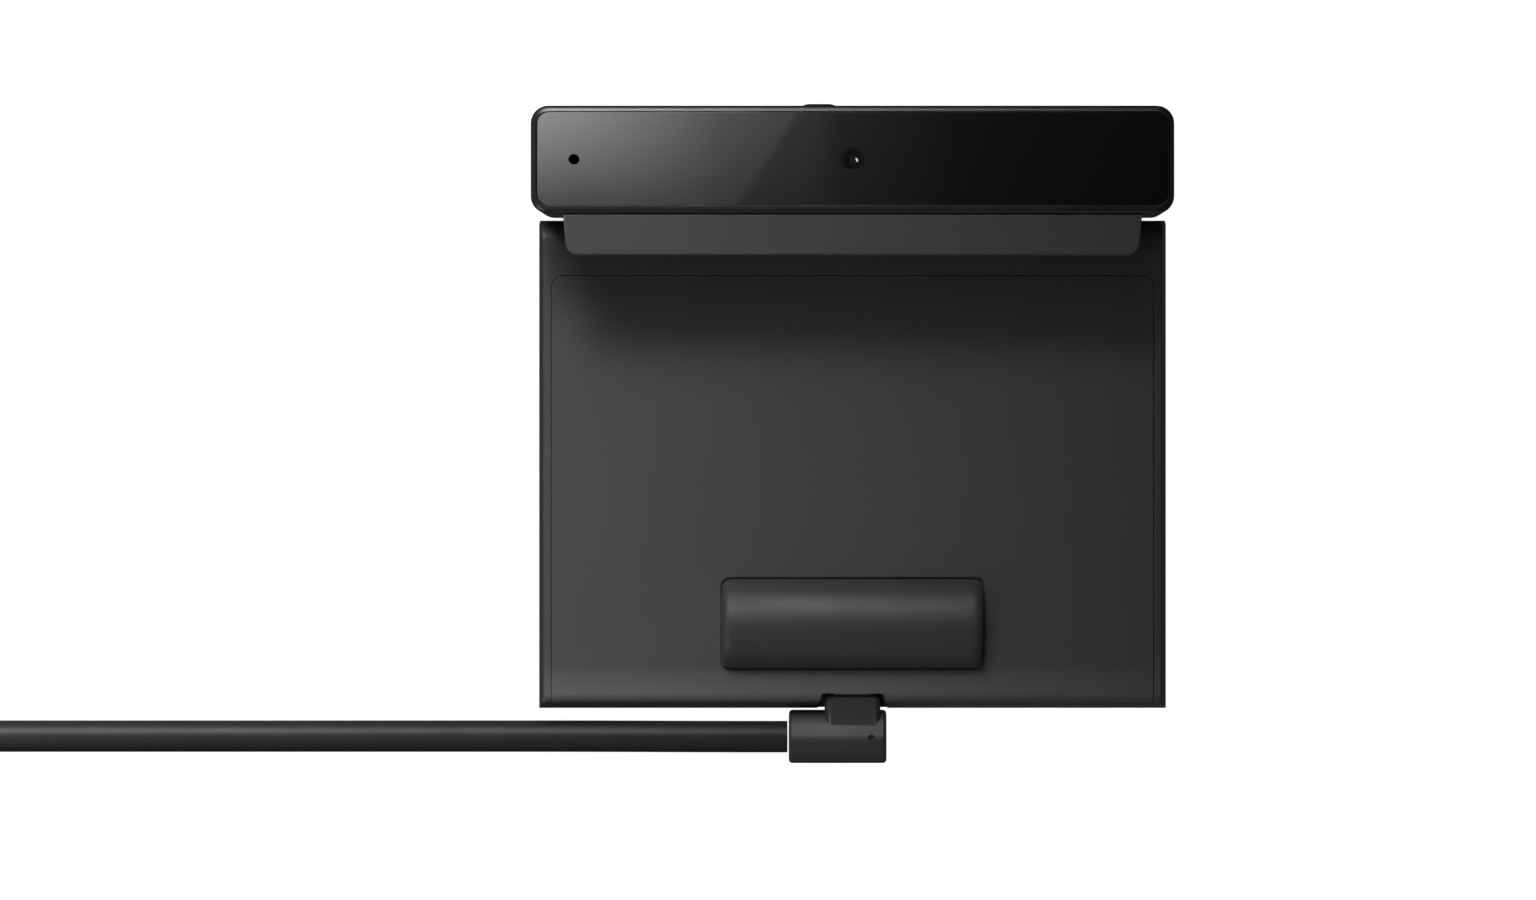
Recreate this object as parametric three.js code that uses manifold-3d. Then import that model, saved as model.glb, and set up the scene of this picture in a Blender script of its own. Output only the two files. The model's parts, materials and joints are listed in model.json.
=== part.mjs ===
// A camera unit that hangs on the top edge of a television: a head with the camera and its
// shutter, a front lip, and a weighted plate that swings on a friction hinge behind the screen.
// It lies on its back. Millimetres: +X along the head, +Y towards the head, +Z out of the lens.
import * as THREE from 'three';
import { mergeVertices } from 'three/addons/utils/BufferGeometryUtils.js';
import Module from 'manifold-3d';

const wasm = await Module();
wasm.setup();

// ---- driving dimensions -------------------------------------------------------------------
const HEAD_HALF = 60;
const HEAD_TOP = 56.05;
const HEAD_BOTTOM = 35.9;
const HEAD_DEPTH = 29;
const HEAD_CORNER = 3;
const HEAD_SPLIT = 20;
const FRONT_EDGE = 0.9;
const REAR_EDGE = 3;
const WALL = 1.8;
const GAP = 0.1;

const WINDOW_HALF = 58.8;
const WINDOW_LOW = 37.45;
const WINDOW_HIGH = 54.85;
const WINDOW_CORNER = 2;
const POCKET_FLOOR = 27.4;
const FRONT_WALL_BACK = 24.6;
const SENSOR_ROW = 46;
const MIC_X = -51.9;
const LED_X = 52;
const HEAD_SCREW_X = 56.3;
const LENS_RING = 2.8;
const LENS_RADIUS = 1.7;

const KNOB_PROUD = 0.3;
const KNOB_X = -6.25;
const KNOB_HALF = 2.05;
const SHUTTER_TRAVEL = 10;

const LIP_HALF = 54;
const LIP_TAPER = 0.4;
const LIP_LOW = 28.2;
const LIP_BACK = 23.9;
const LIP_FRONT = 28.2;

const HINGE_Y = 30.8;
const HINGE_Z = 4.2;
const EAR_RADIUS = 4.1;
const EAR_REACH = 4.55;
const EAR_INNER = 50.6;
const BARREL_RADIUS = 2.9;
const BARREL_HALF = 50.2;
const SHAFT_RADIUS = 1;
const SLEEVE_RADIUS = 2.1;

const PLATE_HALF = 59.8;
const PLATE_BOTTOM = -57.57;
const DRAFT_LOW = 2;
const DRAFT_HIGH = 8;
const FRONT_HALF = 58.85;
const PLATE_FRONT = 8.4;
const PANEL_HALF = 57.05;
const PANEL_TOP = 24.65;
const PANEL_BACK = 6.8;
const GROOVE = 0.3;
const BACK_WALL = 1.6;
const BAR_TOP = 29.3;
const RAMP_START = -49.7;
const RAMP_END = -54;
const RAMP_FRONT = 9.15;
const FOOT_FRONT = 9.9;
const FOOT_EDGE = -56.3;

const BUMPER = { half: 24.95, high: -32.5, low: -49.8, back: 7.9, front: 14.6, corner: 1.3 };
const POCKET_MARGIN = 0.35;
const WEIGHT = { half: 44, low: -28, high: 18, back: 2, front: 5 };

const PORT_Z = 4.9;
const PORT_Y = -54.5;
const NOTCH_HALF = 5.85;
const NOTCH_FLARE = 0.8;
const NOTCH_FLOOR = 0.6;

const BOARD = { half: 54.2, low: 38.2, high: 53.6, back: 12.6, front: 13.8 };
const FLOOR_MARGIN = 0.05;

const CORD_RADIUS = 3;
const CORD_Y = -62.9;
const PLUG = { left: -12.1, right: 6.45, high: -57.9, low: -67.7, back: 0.9, front: 8.9 };
const COIL_X = -206;
const COIL_RADII = [36, 30, 24, 27, 33];
const COIL_LAYERS = [0, 0, 0, 1, 1];
const COIL_LAYER_RISE = 6;
const TAIL_LENGTH = 44;

// ---- materials ------------------------------------------------------------------------------
const finish = (color, roughness, metalness = 0) => ({ color, roughness, metalness });
const BLACK_PLASTIC = finish(0x2a2a2c, 0.5);
const DARK_PLASTIC = finish(0x1c1c1e, 0.45);
const GLASS = finish(0x08080a, 0.05);
const RUBBER = finish(0x1d1d1f, 0.7);
const STEEL = finish(0xa8a9ab, 0.35, 1);
const BOARD_GREEN = finish(0x1d4a30, 0.5);
const CHIP = finish(0x17171a, 0.4);
const FLEX = finish(0xb06a24, 0.5);
const CLEAR = finish(0xdfe6ea, 0.1);

// ---- solids ---------------------------------------------------------------------------------
function toSolid(geometry) {
  const bare = geometry.clone();
  bare.deleteAttribute('normal');
  bare.deleteAttribute('uv');
  const merged = mergeVertices(bare, 1e-4);
  return new wasm.Manifold(new wasm.Mesh({
    numProp: 3,
    vertProperties: new Float32Array(merged.attributes.position.array),
    triVerts: new Uint32Array(merged.index.array),
  }));
}

function toGeometry(solid) {
  const mesh = solid.getMesh();
  const geometry = new THREE.BufferGeometry();
  geometry.setAttribute('position', new THREE.BufferAttribute(new Float32Array(mesh.vertProperties), 3));
  geometry.setIndex(new THREE.BufferAttribute(new Uint32Array(mesh.triVerts), 1));
  geometry.computeVertexNormals();
  return geometry;
}

const join = (first, ...rest) => toGeometry(rest.reduce((a, b) => a.add(toSolid(b)), toSolid(first)));
const cut = (first, ...rest) => toGeometry(rest.reduce((a, b) => a.subtract(toSolid(b)), toSolid(first)));

function box(x0, x1, y0, y1, z0, z1) {
  const geometry = new THREE.BoxGeometry(x1 - x0, y1 - y0, z1 - z0);
  return geometry.translate((x0 + x1) / 2, (y0 + y1) / 2, (z0 + z1) / 2);
}

function outline(x0, x1, y0, y1, corner) {
  const shape = new THREE.Shape();
  shape.moveTo(x0 + corner, y0);
  shape.lineTo(x1 - corner, y0);
  shape.absarc(x1 - corner, y0 + corner, corner, -Math.PI / 2, 0);
  shape.absarc(x1 - corner, y1 - corner, corner, 0, Math.PI / 2);
  shape.absarc(x0 + corner, y1 - corner, corner, Math.PI / 2, Math.PI);
  shape.absarc(x0 + corner, y0 + corner, corner, Math.PI, Math.PI * 1.5);
  return shape;
}

// A block with rounded corners seen from +Z.
function slab(x0, x1, y0, y1, z0, z1, corner) {
  const settings = { depth: z1 - z0, bevelEnabled: false, curveSegments: 5 };
  return new THREE.ExtrudeGeometry(outline(x0, x1, y0, y1, corner), settings).translate(0, 0, z0);
}

// The same block with its two large faces' edges rounded.
function softSlab(x0, x1, y0, y1, z0, z1, corner, edge) {
  const inner = outline(x0 + edge, x1 - edge, y0 + edge, y1 - edge, Math.max(corner - edge, 0.05));
  const settings = {
    depth: z1 - z0 - 2 * edge,
    bevelThickness: edge,
    bevelSize: edge,
    bevelSegments: 4,
    curveSegments: 5,
  };
  return new THREE.ExtrudeGeometry(inner, settings).translate(0, 0, z0 + edge);
}

const ALONG_X = new THREE.Matrix4().makeBasis(
  new THREE.Vector3(0, 1, 0),
  new THREE.Vector3(0, 0, 1),
  new THREE.Vector3(1, 0, 0),
);

// Stands a block that is symmetric left to right along +Y: its drawn Y becomes Z, its depth Y.
const ALONG_Y = new THREE.Matrix4().makeBasis(
  new THREE.Vector3(-1, 0, 0),
  new THREE.Vector3(0, 0, 1),
  new THREE.Vector3(0, 1, 0),
);

// A side profile, drawn in Y and Z, carried from x0 to x1.
function profile(shape, x0, x1, curveSegments = 8) {
  const settings = { depth: x1 - x0, bevelEnabled: false, curveSegments };
  return new THREE.ExtrudeGeometry(shape, settings).applyMatrix4(ALONG_X).translate(x0, 0, 0);
}

function polygon(points) {
  return new THREE.Shape(points.map(([a, b]) => new THREE.Vector2(a, b)));
}

function rod(x, y, z0, z1, radius, sides = 24) {
  const geometry = new THREE.CylinderGeometry(radius, radius, z1 - z0, sides).rotateX(Math.PI / 2);
  return geometry.translate(x, y, (z0 + z1) / 2);
}

function rodX(x0, x1, y, z, radius, sides = 24) {
  const geometry = new THREE.CylinderGeometry(radius, radius, x1 - x0, sides).rotateZ(Math.PI / 2);
  return geometry.translate((x0 + x1) / 2, y, z);
}

// A closed ring or bush: inner and outer radius, turned about Z.
function bush(x, y, z0, z1, inner, outer, sides = 28) {
  const section = [[inner, z0], [outer, z0], [outer, z1], [inner, z1], [inner, z0]];
  const points = section.map(([r, z]) => new THREE.Vector2(r, z));
  return new THREE.LatheGeometry(points, sides).rotateX(Math.PI / 2).translate(x, y, 0);
}

function bushX(x0, x1, y, z, inner, outer, sides = 28) {
  const section = [[inner, x0], [outer, x0], [outer, x1], [inner, x1], [inner, x0]];
  const points = section.map(([r, h]) => new THREE.Vector2(r, h));
  return new THREE.LatheGeometry(points, sides).rotateZ(-Math.PI / 2).translate(0, y, z);
}

// A countersunk screw driven along Z: sign is +1 where the head faces +Z.
function screw(x, y, headZ, sign, length, headRadius, shankRadius) {
  const rise = headRadius - shankRadius;
  const section = [[0, 0], [headRadius, 0], [shankRadius, -rise], [shankRadius, -length], [0, -length]];
  const points = section.map(([r, z]) => new THREE.Vector2(r, z)).reverse();
  const body = new THREE.LatheGeometry(points, 20).rotateX(Math.PI / 2);
  const recess = join(
    box(-headRadius * 0.6, headRadius * 0.6, -0.22, 0.22, -0.5, 0.5),
    box(-0.22, 0.22, -headRadius * 0.6, headRadius * 0.6, -0.5, 0.5),
  );
  const made = cut(body, recess);
  if (sign < 0) made.rotateX(Math.PI);
  return made.translate(x, y, headZ);
}

// A flat ribbon: a line of points in Y and Z, given a thickness and carried along X.
function ribbon(line, thickness, x0, x1) {
  const back = line.map(([y, z]) => [y, z - thickness]).reverse();
  return profile(polygon([...line, ...back]), x0, x1);
}

// ---- the object -----------------------------------------------------------------------------
const object = new THREE.Group();
object.position.y = -(HEAD_TOP + KNOB_PROUD + PLATE_BOTTOM) / 2;
const plate = new THREE.Group();
const head = new THREE.Group();
const shutter = new THREE.Group();
const cord = new THREE.Group();
object.add(plate, head, shutter, cord);

function add(group, name, geometry, look) {
  const mesh = new THREE.Mesh(geometry, new THREE.MeshStandardMaterial(look));
  mesh.name = name;
  group.add(mesh);
}

const SIDES = [['left', -1], ['right', 1]];
const mirrored = (sign, a, b) => (sign > 0 ? [a, b] : [-b, -a]);

// The plate's side profile: rounded round the hinge axis, flat, then a ramp, a rounded foot and a
// drafted lower wall.
function plateProfile() {
  const shape = new THREE.Shape();
  shape.moveTo(PLATE_BOTTOM + 1, 0);
  shape.lineTo(HINGE_Y, 0);
  shape.lineTo(HINGE_Y, HINGE_Z - EAR_RADIUS);
  shape.absellipse(HINGE_Y, HINGE_Z, EAR_REACH, EAR_RADIUS, -Math.PI / 2, Math.PI / 2);
  shape.lineTo(HINGE_Y - 1.2, PLATE_FRONT);
  shape.lineTo(RAMP_START, PLATE_FRONT);
  shape.quadraticCurveTo(RAMP_START - 2.5, PLATE_FRONT + 0.05, RAMP_END, RAMP_FRONT);
  shape.bezierCurveTo(RAMP_END - 0.9, RAMP_FRONT + 0.4, FOOT_EDGE, FOOT_FRONT, FOOT_EDGE, DRAFT_HIGH);
  shape.lineTo(PLATE_BOTTOM, DRAFT_LOW);
  shape.lineTo(PLATE_BOTTOM, 1);
  shape.absarc(PLATE_BOTTOM + 1, 1, 1, Math.PI, Math.PI * 1.5);
  return shape;
}

// The plate's section across X: its two side walls lean in towards the front.
function plateDraft() {
  const points = [
    [-PLATE_HALF, -1], [PLATE_HALF, -1], [PLATE_HALF, DRAFT_LOW], [FRONT_HALF, DRAFT_HIGH],
    [FRONT_HALF, 14], [-FRONT_HALF, 14], [-FRONT_HALF, DRAFT_HIGH], [-PLATE_HALF, DRAFT_LOW],
  ];
  const settings = { depth: 110, bevelEnabled: false };
  return new THREE.ExtrudeGeometry(polygon(points), settings).applyMatrix4(ALONG_Y).translate(0, -65, 0);
}

// The space that the port's plug drops into, at the plate's foot. A thin web is left behind it.
function portNotch() {
  const half = NOTCH_HALF;
  const flare = NOTCH_HALF + NOTCH_FLARE;
  const edge = PLATE_BOTTOM - 1;
  const points = [[-flare, edge], [flare, edge], [flare, PLATE_BOTTOM + 0.6], [half, PORT_Y], [-half, PORT_Y],
    [-flare, PLATE_BOTTOM + 0.6]];
  const settings = { depth: 14, bevelEnabled: false };
  return new THREE.ExtrudeGeometry(polygon(points), settings).translate(0, 0, NOTCH_FLOOR);
}

const REAR_SCREWS = [
  ['upper_left', -48.5, 20],
  ['upper_right', 48.5, 20],
  ['lower_left', -52, -50],
  ['lower_right', 52, -50],
];

function plateFrame() {
  const straight = profile(plateProfile(), -PLATE_HALF - 1, PLATE_HALF + 1);
  const body = toGeometry(toSolid(straight).intersect(toSolid(plateDraft())));
  const panelSpace = box(
    -PANEL_HALF - GROOVE, PANEL_HALF + GROOVE,
    PLATE_BOTTOM - 1, PANEL_TOP + GROOVE,
    PANEL_BACK - 0.3, 14,
  );
  const inside = slab(-57.6, 57.6, PLATE_BOTTOM + WALL, PANEL_TOP - 1.2, BACK_WALL, PANEL_BACK, 1);
  const bearingSpace = join(
    rodX(-EAR_INNER, EAR_INNER, HINGE_Y, HINGE_Z, BARREL_RADIUS + 0.4, 40),
    box(-EAR_INNER, EAR_INNER, HINGE_Y, 40, HINGE_Z - BARREL_RADIUS - 0.4, HINGE_Z + BARREL_RADIUS + 0.4),
    box(-EAR_INNER, EAR_INNER, BAR_TOP, 40, -1, 14),
  );
  const cuts = [panelSpace, inside, bearingSpace, portNotch()];
  cuts.push(box(-9, 9, PANEL_TOP - 2, HINGE_Y, 3.2, 5.2));
  for (const [, sign] of SIDES) {
    cuts.push(box(...mirrored(sign, 52.4, 57.6), 16, 33, BACK_WALL, PANEL_BACK - 0.1));
    cuts.push(rodX(...mirrored(sign, 50, 53), HINGE_Y, HINGE_Z, BARREL_RADIUS));
  }
  const wallRound = box(-8.8, 8.8, FOOT_EDGE + 0.1, PORT_Y + 1.6, 0.4, PANEL_BACK - 0.3);
  const shell = join(cut(body, ...cuts), cut(wallRound, portNotch()));
  const holes = [box(-4.8, 4.8, PORT_Y - 1, PORT_Y + 3, PORT_Z - 1.85, PORT_Z + 1.85)];
  const posts = [];
  for (const [, x, y] of REAR_SCREWS) {
    posts.push(rod(x, y, 1, 4.2, 2.6));
    holes.push(rod(x, y, -1, 5, 1.15), rod(x, y, -1, 2, 2.1));
  }
  return cut(join(shell, ...posts), ...holes);
}

function platePanel() {
  const face = profile(plateProfile(), -PANEL_HALF, PANEL_HALF);
  const behind = box(-70, 70, PLATE_BOTTOM - 2, 60, -2, PANEL_BACK);
  const above = box(-70, 70, PANEL_TOP, 60, -2, 20);
  const hollow = box(-PANEL_HALF + 2, PANEL_HALF - 2, RAMP_END, RAMP_START - 2.5, 0, PLATE_FRONT - 1.1);
  const pocket = slab(
    -BUMPER.half - POCKET_MARGIN, BUMPER.half + POCKET_MARGIN,
    BUMPER.low - POCKET_MARGIN, BUMPER.high + POCKET_MARGIN,
    BUMPER.back - 0.3, 20, BUMPER.corner + POCKET_MARGIN,
  );
  const shell = cut(face, behind, above, hollow, pocket, portNotch());
  const posts = REAR_SCREWS.map(([, x, y]) => rod(x, y, 4.4, 7.2, 2.2));
  const holes = REAR_SCREWS.map(([, x, y]) => rod(x, y, 4, 6.6, 0.85));
  return cut(join(shell, ...posts), ...holes);
}

function bumperShape() {
  const { low, high, back, front } = BUMPER;
  const shoulder = back + 2.4;
  const crown = 1.5;
  const middle = (low + high) / 2;
  const shape = new THREE.Shape();
  shape.moveTo(low, back);
  shape.lineTo(high, back);
  shape.lineTo(high, shoulder);
  shape.bezierCurveTo(high, front - 1.9, middle + 5.5, front, middle + crown, front);
  shape.lineTo(middle - crown, front);
  shape.bezierCurveTo(middle - 5.5, front, low, front - 1.9, low, shoulder);
  return shape;
}

function buildPlate() {
  add(plate, 'plate_frame', plateFrame(), BLACK_PLASTIC);
  add(plate, 'plate_front_panel', platePanel(), BLACK_PLASTIC);
  for (const [place, x, y] of REAR_SCREWS) {
    add(plate, `plate_screw_${place}`, screw(x, y, 0.9, -1, 5.2, 1.8, 0.75), STEEL);
  }
  const { half, low, high } = BUMPER;
  add(plate, 'bumper_adhesive', slab(-half + 1, half - 1, low + 1, high - 1, 7.65, 7.85, 1), DARK_PLASTIC);
  const ends = slab(-half, half, low, high, BUMPER.back, BUMPER.front, BUMPER.corner);
  const crowned = profile(bumperShape(), -half - 1, half + 1);
  add(plate, 'bumper_pad', toGeometry(toSolid(crowned).intersect(toSolid(ends))), RUBBER);
  const weight = slab(-WEIGHT.half, WEIGHT.half, WEIGHT.low, WEIGHT.high, WEIGHT.back, WEIGHT.front, 2);
  add(plate, 'counterweight', weight, STEEL);
}

function buildPort() {
  const boardHoles = SIDES.map(([, sign]) => rod(sign * 11.5, -44, 1, 4, 0.9));
  const board = cut(box(-14, 14, -52.6, -38, 2, 2.9), ...boardHoles);
  add(plate, 'usb_board', board, BOARD_GREEN);
  for (const [side, sign] of SIDES) {
    add(plate, `usb_board_screw_${side}`, screw(sign * 11.5, -44, 3.8, 1, 2.1, 1.5, 0.7), STEEL);
  }
  const shell = cut(
    slab(-4.6, 4.6, PORT_Z - 1.67, PORT_Z + 1.67, 0, 7.4, 1.5),
    slab(-4.3, 4.3, PORT_Z - 1.37, PORT_Z + 1.37, -1, 6.7, 1.3),
  ).applyMatrix4(ALONG_Y);
  add(plate, 'usb_receptacle', shell.translate(0, PORT_Y + 0.1, 0), STEEL);
  const tongue = box(-3.3, 3.3, PORT_Y + 1, PORT_Y + 6.7, PORT_Z - 0.35, PORT_Z + 0.35);
  add(plate, 'usb_receptacle_tongue', tongue, DARK_PLASTIC);
  const line = [[25.6, 4.4], [21.5, 5.9], [-34, 5.9], [-38.6, 3.5], [-41, 3.5]];
  add(plate, 'flex_cable_plate', ribbon(line, 0.25, -8, 8), FLEX);
}

function buildHinges() {
  for (const [side, sign] of SIDES) {
    const foot = box(...mirrored(sign, 52.7, 57.2), 17, 21.4, 2, 3);
    const upright = box(...mirrored(sign, 52.7, 53.7), 17, HINGE_Y + 2, 2, 6.3);
    const hole = rodX(...mirrored(sign, 52, 55), HINGE_Y, HINGE_Z, SHAFT_RADIUS + 0.1);
    add(plate, `hinge_bracket_${side}`, cut(join(foot, upright), hole), STEEL);
    const shaft = join(
      rodX(...mirrored(sign, 36, 55.4), HINGE_Y, HINGE_Z, SHAFT_RADIUS),
      rodX(...mirrored(sign, 53.9, 55.4), HINGE_Y, HINGE_Z, 2),
    );
    add(plate, `hinge_shaft_${side}`, shaft, STEEL);
    const washer = bushX(...mirrored(sign, 50.7, 51.6), HINGE_Y, HINGE_Z, SHAFT_RADIUS + 0.1, 2.3);
    add(plate, `hinge_washer_${side}`, washer, STEEL);
    const inner = SHAFT_RADIUS + 0.12;
    const sleeve = bushX(...mirrored(sign, 37, 50), HINGE_Y, HINGE_Z, inner, SLEEVE_RADIUS);
    add(head, `hinge_sleeve_${side}`, sleeve, STEEL);
  }
}

function headOuter(z0, z1, edgeFront, edgeBack) {
  const edge = Math.max(edgeFront, edgeBack);
  const deep = edgeFront > 0 ? z0 - 8 : z0;
  const high = edgeFront > 0 ? z1 : z1 + 8;
  const block = softSlab(-HEAD_HALF, HEAD_HALF, HEAD_BOTTOM, HEAD_TOP, deep, high, HEAD_CORNER, edge);
  const rest = edgeFront > 0 ? box(-70, 70, 0, 80, deep - 1, z0) : box(-70, 70, 0, 80, z1, high + 1);
  return cut(block, rest);
}

const TAB_PLACES = [-38, 30];
const TAB_HALF = 5;

function headFrontHousing() {
  const body = headOuter(HEAD_SPLIT + GAP, HEAD_DEPTH, FRONT_EDGE, 0);
  const inside = slab(
    -HEAD_HALF + WALL, HEAD_HALF - WALL, HEAD_BOTTOM + WALL, HEAD_TOP - WALL,
    HEAD_SPLIT - 1, FRONT_WALL_BACK, 1.5,
  );
  const pocket = slab(
    -WINDOW_HALF - GAP, WINDOW_HALF + GAP, WINDOW_LOW - GAP, WINDOW_HIGH + GAP,
    POCKET_FLOOR, 30, WINDOW_CORNER,
  );
  const channel = box(-16.6, KNOB_X + 1.2 + SHUTTER_TRAVEL + 0.4, 41.6, 54.5, 25.9, 28);
  const springSpace = box(-5, 5, 54.3, 55.5, 25, 26);
  const slot = box(KNOB_X - 1.6, KNOB_X + 1.6 + SHUTTER_TRAVEL, 54, 58, 25.8, 27.2);
  const holes = [
    rod(0, SENSOR_ROW, 20, 30, LENS_RING + 0.3),
    rod(MIC_X, SENSOR_ROW, 20, 30, 0.9),
    rod(LED_X, SENSOR_ROW, 20, 30, 1.1),
    ...TAB_PLACES.map((x) => box(x - TAB_HALF - 0.2, x + TAB_HALF + 0.2, 34, 38, 22.6, 24.9)),
  ];
  const posts = SIDES.map(([, sign]) => rod(sign * HEAD_SCREW_X, SENSOR_ROW, 4.5, 25.5, 1.6));
  const pilots = SIDES.map(([, sign]) => rod(sign * HEAD_SCREW_X, SENSOR_ROW, 4, 16, 0.95));
  const shell = cut(body, inside, pocket, channel, springSpace, slot, ...holes);
  return cut(join(shell, ...posts), ...pilots);
}

function headRearHousing() {
  const body = headOuter(0, HEAD_SPLIT - GAP, 0, REAR_EDGE);
  const inside = slab(
    -HEAD_HALF + WALL, HEAD_HALF - WALL, HEAD_BOTTOM + WALL, HEAD_TOP - WALL, WALL, 24, 1.5,
  );
  const neck = box(-BARREL_HALF, BARREL_HALF, HINGE_Y, HEAD_BOTTOM + 0.5, HINGE_Z - 1.4, HINGE_Z + 1.4);
  const barrel = rodX(-BARREL_HALF, BARREL_HALF, HINGE_Y, HINGE_Z, BARREL_RADIUS, 40);
  const holes = [box(-9, 9, HINGE_Y - 4, 40, 3.3, 5.1)];
  const posts = [];
  for (const [, sign] of SIDES) {
    holes.push(rodX(...mirrored(sign, 35.4, 51), HINGE_Y, HINGE_Z, SLEEVE_RADIUS + 0.1));
    posts.push(rod(sign * 47, 51.2, 1, BOARD.back - GAP, 2.3));
    holes.push(rod(sign * 47, 51.2, 3, 16, 0.8));
    posts.push(rod(sign * HEAD_SCREW_X, SENSOR_ROW, 1, 3.9, 2.9));
    holes.push(rod(sign * HEAD_SCREW_X, SENSOR_ROW, -1, 5, 1.05));
    holes.push(rod(sign * HEAD_SCREW_X, SENSOR_ROW, -1, 2.2, 2.1));
  }
  return cut(join(cut(body, inside), neck, barrel, ...posts), ...holes);
}

function buildHeadShell() {
  add(head, 'head_front_housing', headFrontHousing(), BLACK_PLASTIC);
  add(head, 'head_rear_housing', headRearHousing(), BLACK_PLASTIC);
  const pane = slab(
    -WINDOW_HALF, WINDOW_HALF, WINDOW_LOW, WINDOW_HIGH, POCKET_FLOOR + 0.4, HEAD_DEPTH - 0.1, WINDOW_CORNER,
  );
  add(head, 'front_window', cut(pane, rod(MIC_X, SENSOR_ROW, 20, 30, 0.97)), GLASS);
  const tape = cut(
    slab(-58.4, 58.4, WINDOW_LOW + 0.3, WINDOW_HIGH - 0.3, POCKET_FLOOR + 0.05, POCKET_FLOOR + 0.35, 1.7),
    box(-57, 57, WINDOW_LOW + 1.5, WINDOW_HIGH - 0.9, 27, 28),
  );
  add(head, 'window_gasket', tape, DARK_PLASTIC);
  const lip = new THREE.Shape();
  const low = LIP_HALF - LIP_TAPER;
  lip.moveTo(-LIP_HALF, HEAD_BOTTOM - 0.15);
  lip.lineTo(-low, LIP_LOW + 2);
  lip.quadraticCurveTo(-low, LIP_LOW, -low + 2, LIP_LOW);
  lip.lineTo(low - 2, LIP_LOW);
  lip.quadraticCurveTo(low, LIP_LOW, low, LIP_LOW + 2);
  lip.lineTo(LIP_HALF, HEAD_BOTTOM - 0.15);
  const blade = new THREE.ExtrudeGeometry(lip, {
    depth: LIP_FRONT - LIP_BACK - 0.8,
    bevelThickness: 0.4,
    bevelSize: 0.4,
    bevelOffset: -0.4,
    bevelSegments: 2,
    curveSegments: 6,
  }).translate(0, 0, LIP_BACK + 0.4);
  const tabs = TAB_PLACES.map((x) => box(x - TAB_HALF, x + TAB_HALF, 34.5, 38.4, LIP_BACK, 24.5));
  add(head, 'front_lip', join(blade, ...tabs), BLACK_PLASTIC);
  add(head, 'lip_pad', slab(-51, 51, 29.2, 34.8, LIP_BACK - 0.7, LIP_BACK - 0.1, 1), RUBBER);
  const rest = box(-51, 51, HEAD_BOTTOM - 0.7, HEAD_BOTTOM - 0.1, 10.6, 19.4);
  add(head, 'rest_pad', rest, RUBBER);
  for (const [side, sign] of SIDES) {
    add(head, `head_screw_${side}`, screw(sign * HEAD_SCREW_X, SENSOR_ROW, 1.1, -1, 9, 1.8, 0.8), STEEL);
  }
}

function buildCamera() {
  const ring = bush(0, SENSOR_ROW, 16, 26.1, LENS_RADIUS + 0.1, LENS_RING, 36);
  add(head, 'lens_barrel', ring, DARK_PLASTIC);
  const dome = new THREE.Shape();
  dome.moveTo(0, 24.2);
  dome.lineTo(LENS_RADIUS, 24.2);
  dome.lineTo(LENS_RADIUS, 24.9);
  dome.quadraticCurveTo(LENS_RADIUS * 0.6, 25.7, 0, 25.8);
  const domePoints = dome.getPoints(5);
  add(head, 'lens_front_element', turned(domePoints), GLASS);
  add(head, 'lens_rear_element', rod(0, SENSOR_ROW, 20.4, 21.6, LENS_RADIUS, 28), CLEAR);
  const holder = cut(
    box(-4.7, 4.7, SENSOR_ROW - 4.7, SENSOR_ROW + 4.7, BOARD.front + GAP, 20.3),
    box(-3.7, 3.7, SENSOR_ROW - 3.7, SENSOR_ROW + 3.7, BOARD.front, 15.6),
    rod(0, SENSOR_ROW, 15, 21, LENS_RING + 0.1, 36),
  );
  add(head, 'lens_holder', holder, DARK_PLASTIC);
  const sensor = box(-3, 3, SENSOR_ROW - 2.6, SENSOR_ROW + 2.6, BOARD.front + GAP, 14.8);
  add(head, 'image_sensor', sensor, CHIP);
}

// A closed turned body about the lens axis, from its half section.
function turned(points) {
  return new THREE.LatheGeometry(points, 28).rotateX(Math.PI / 2).translate(0, SENSOR_ROW, 0);
}

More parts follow.
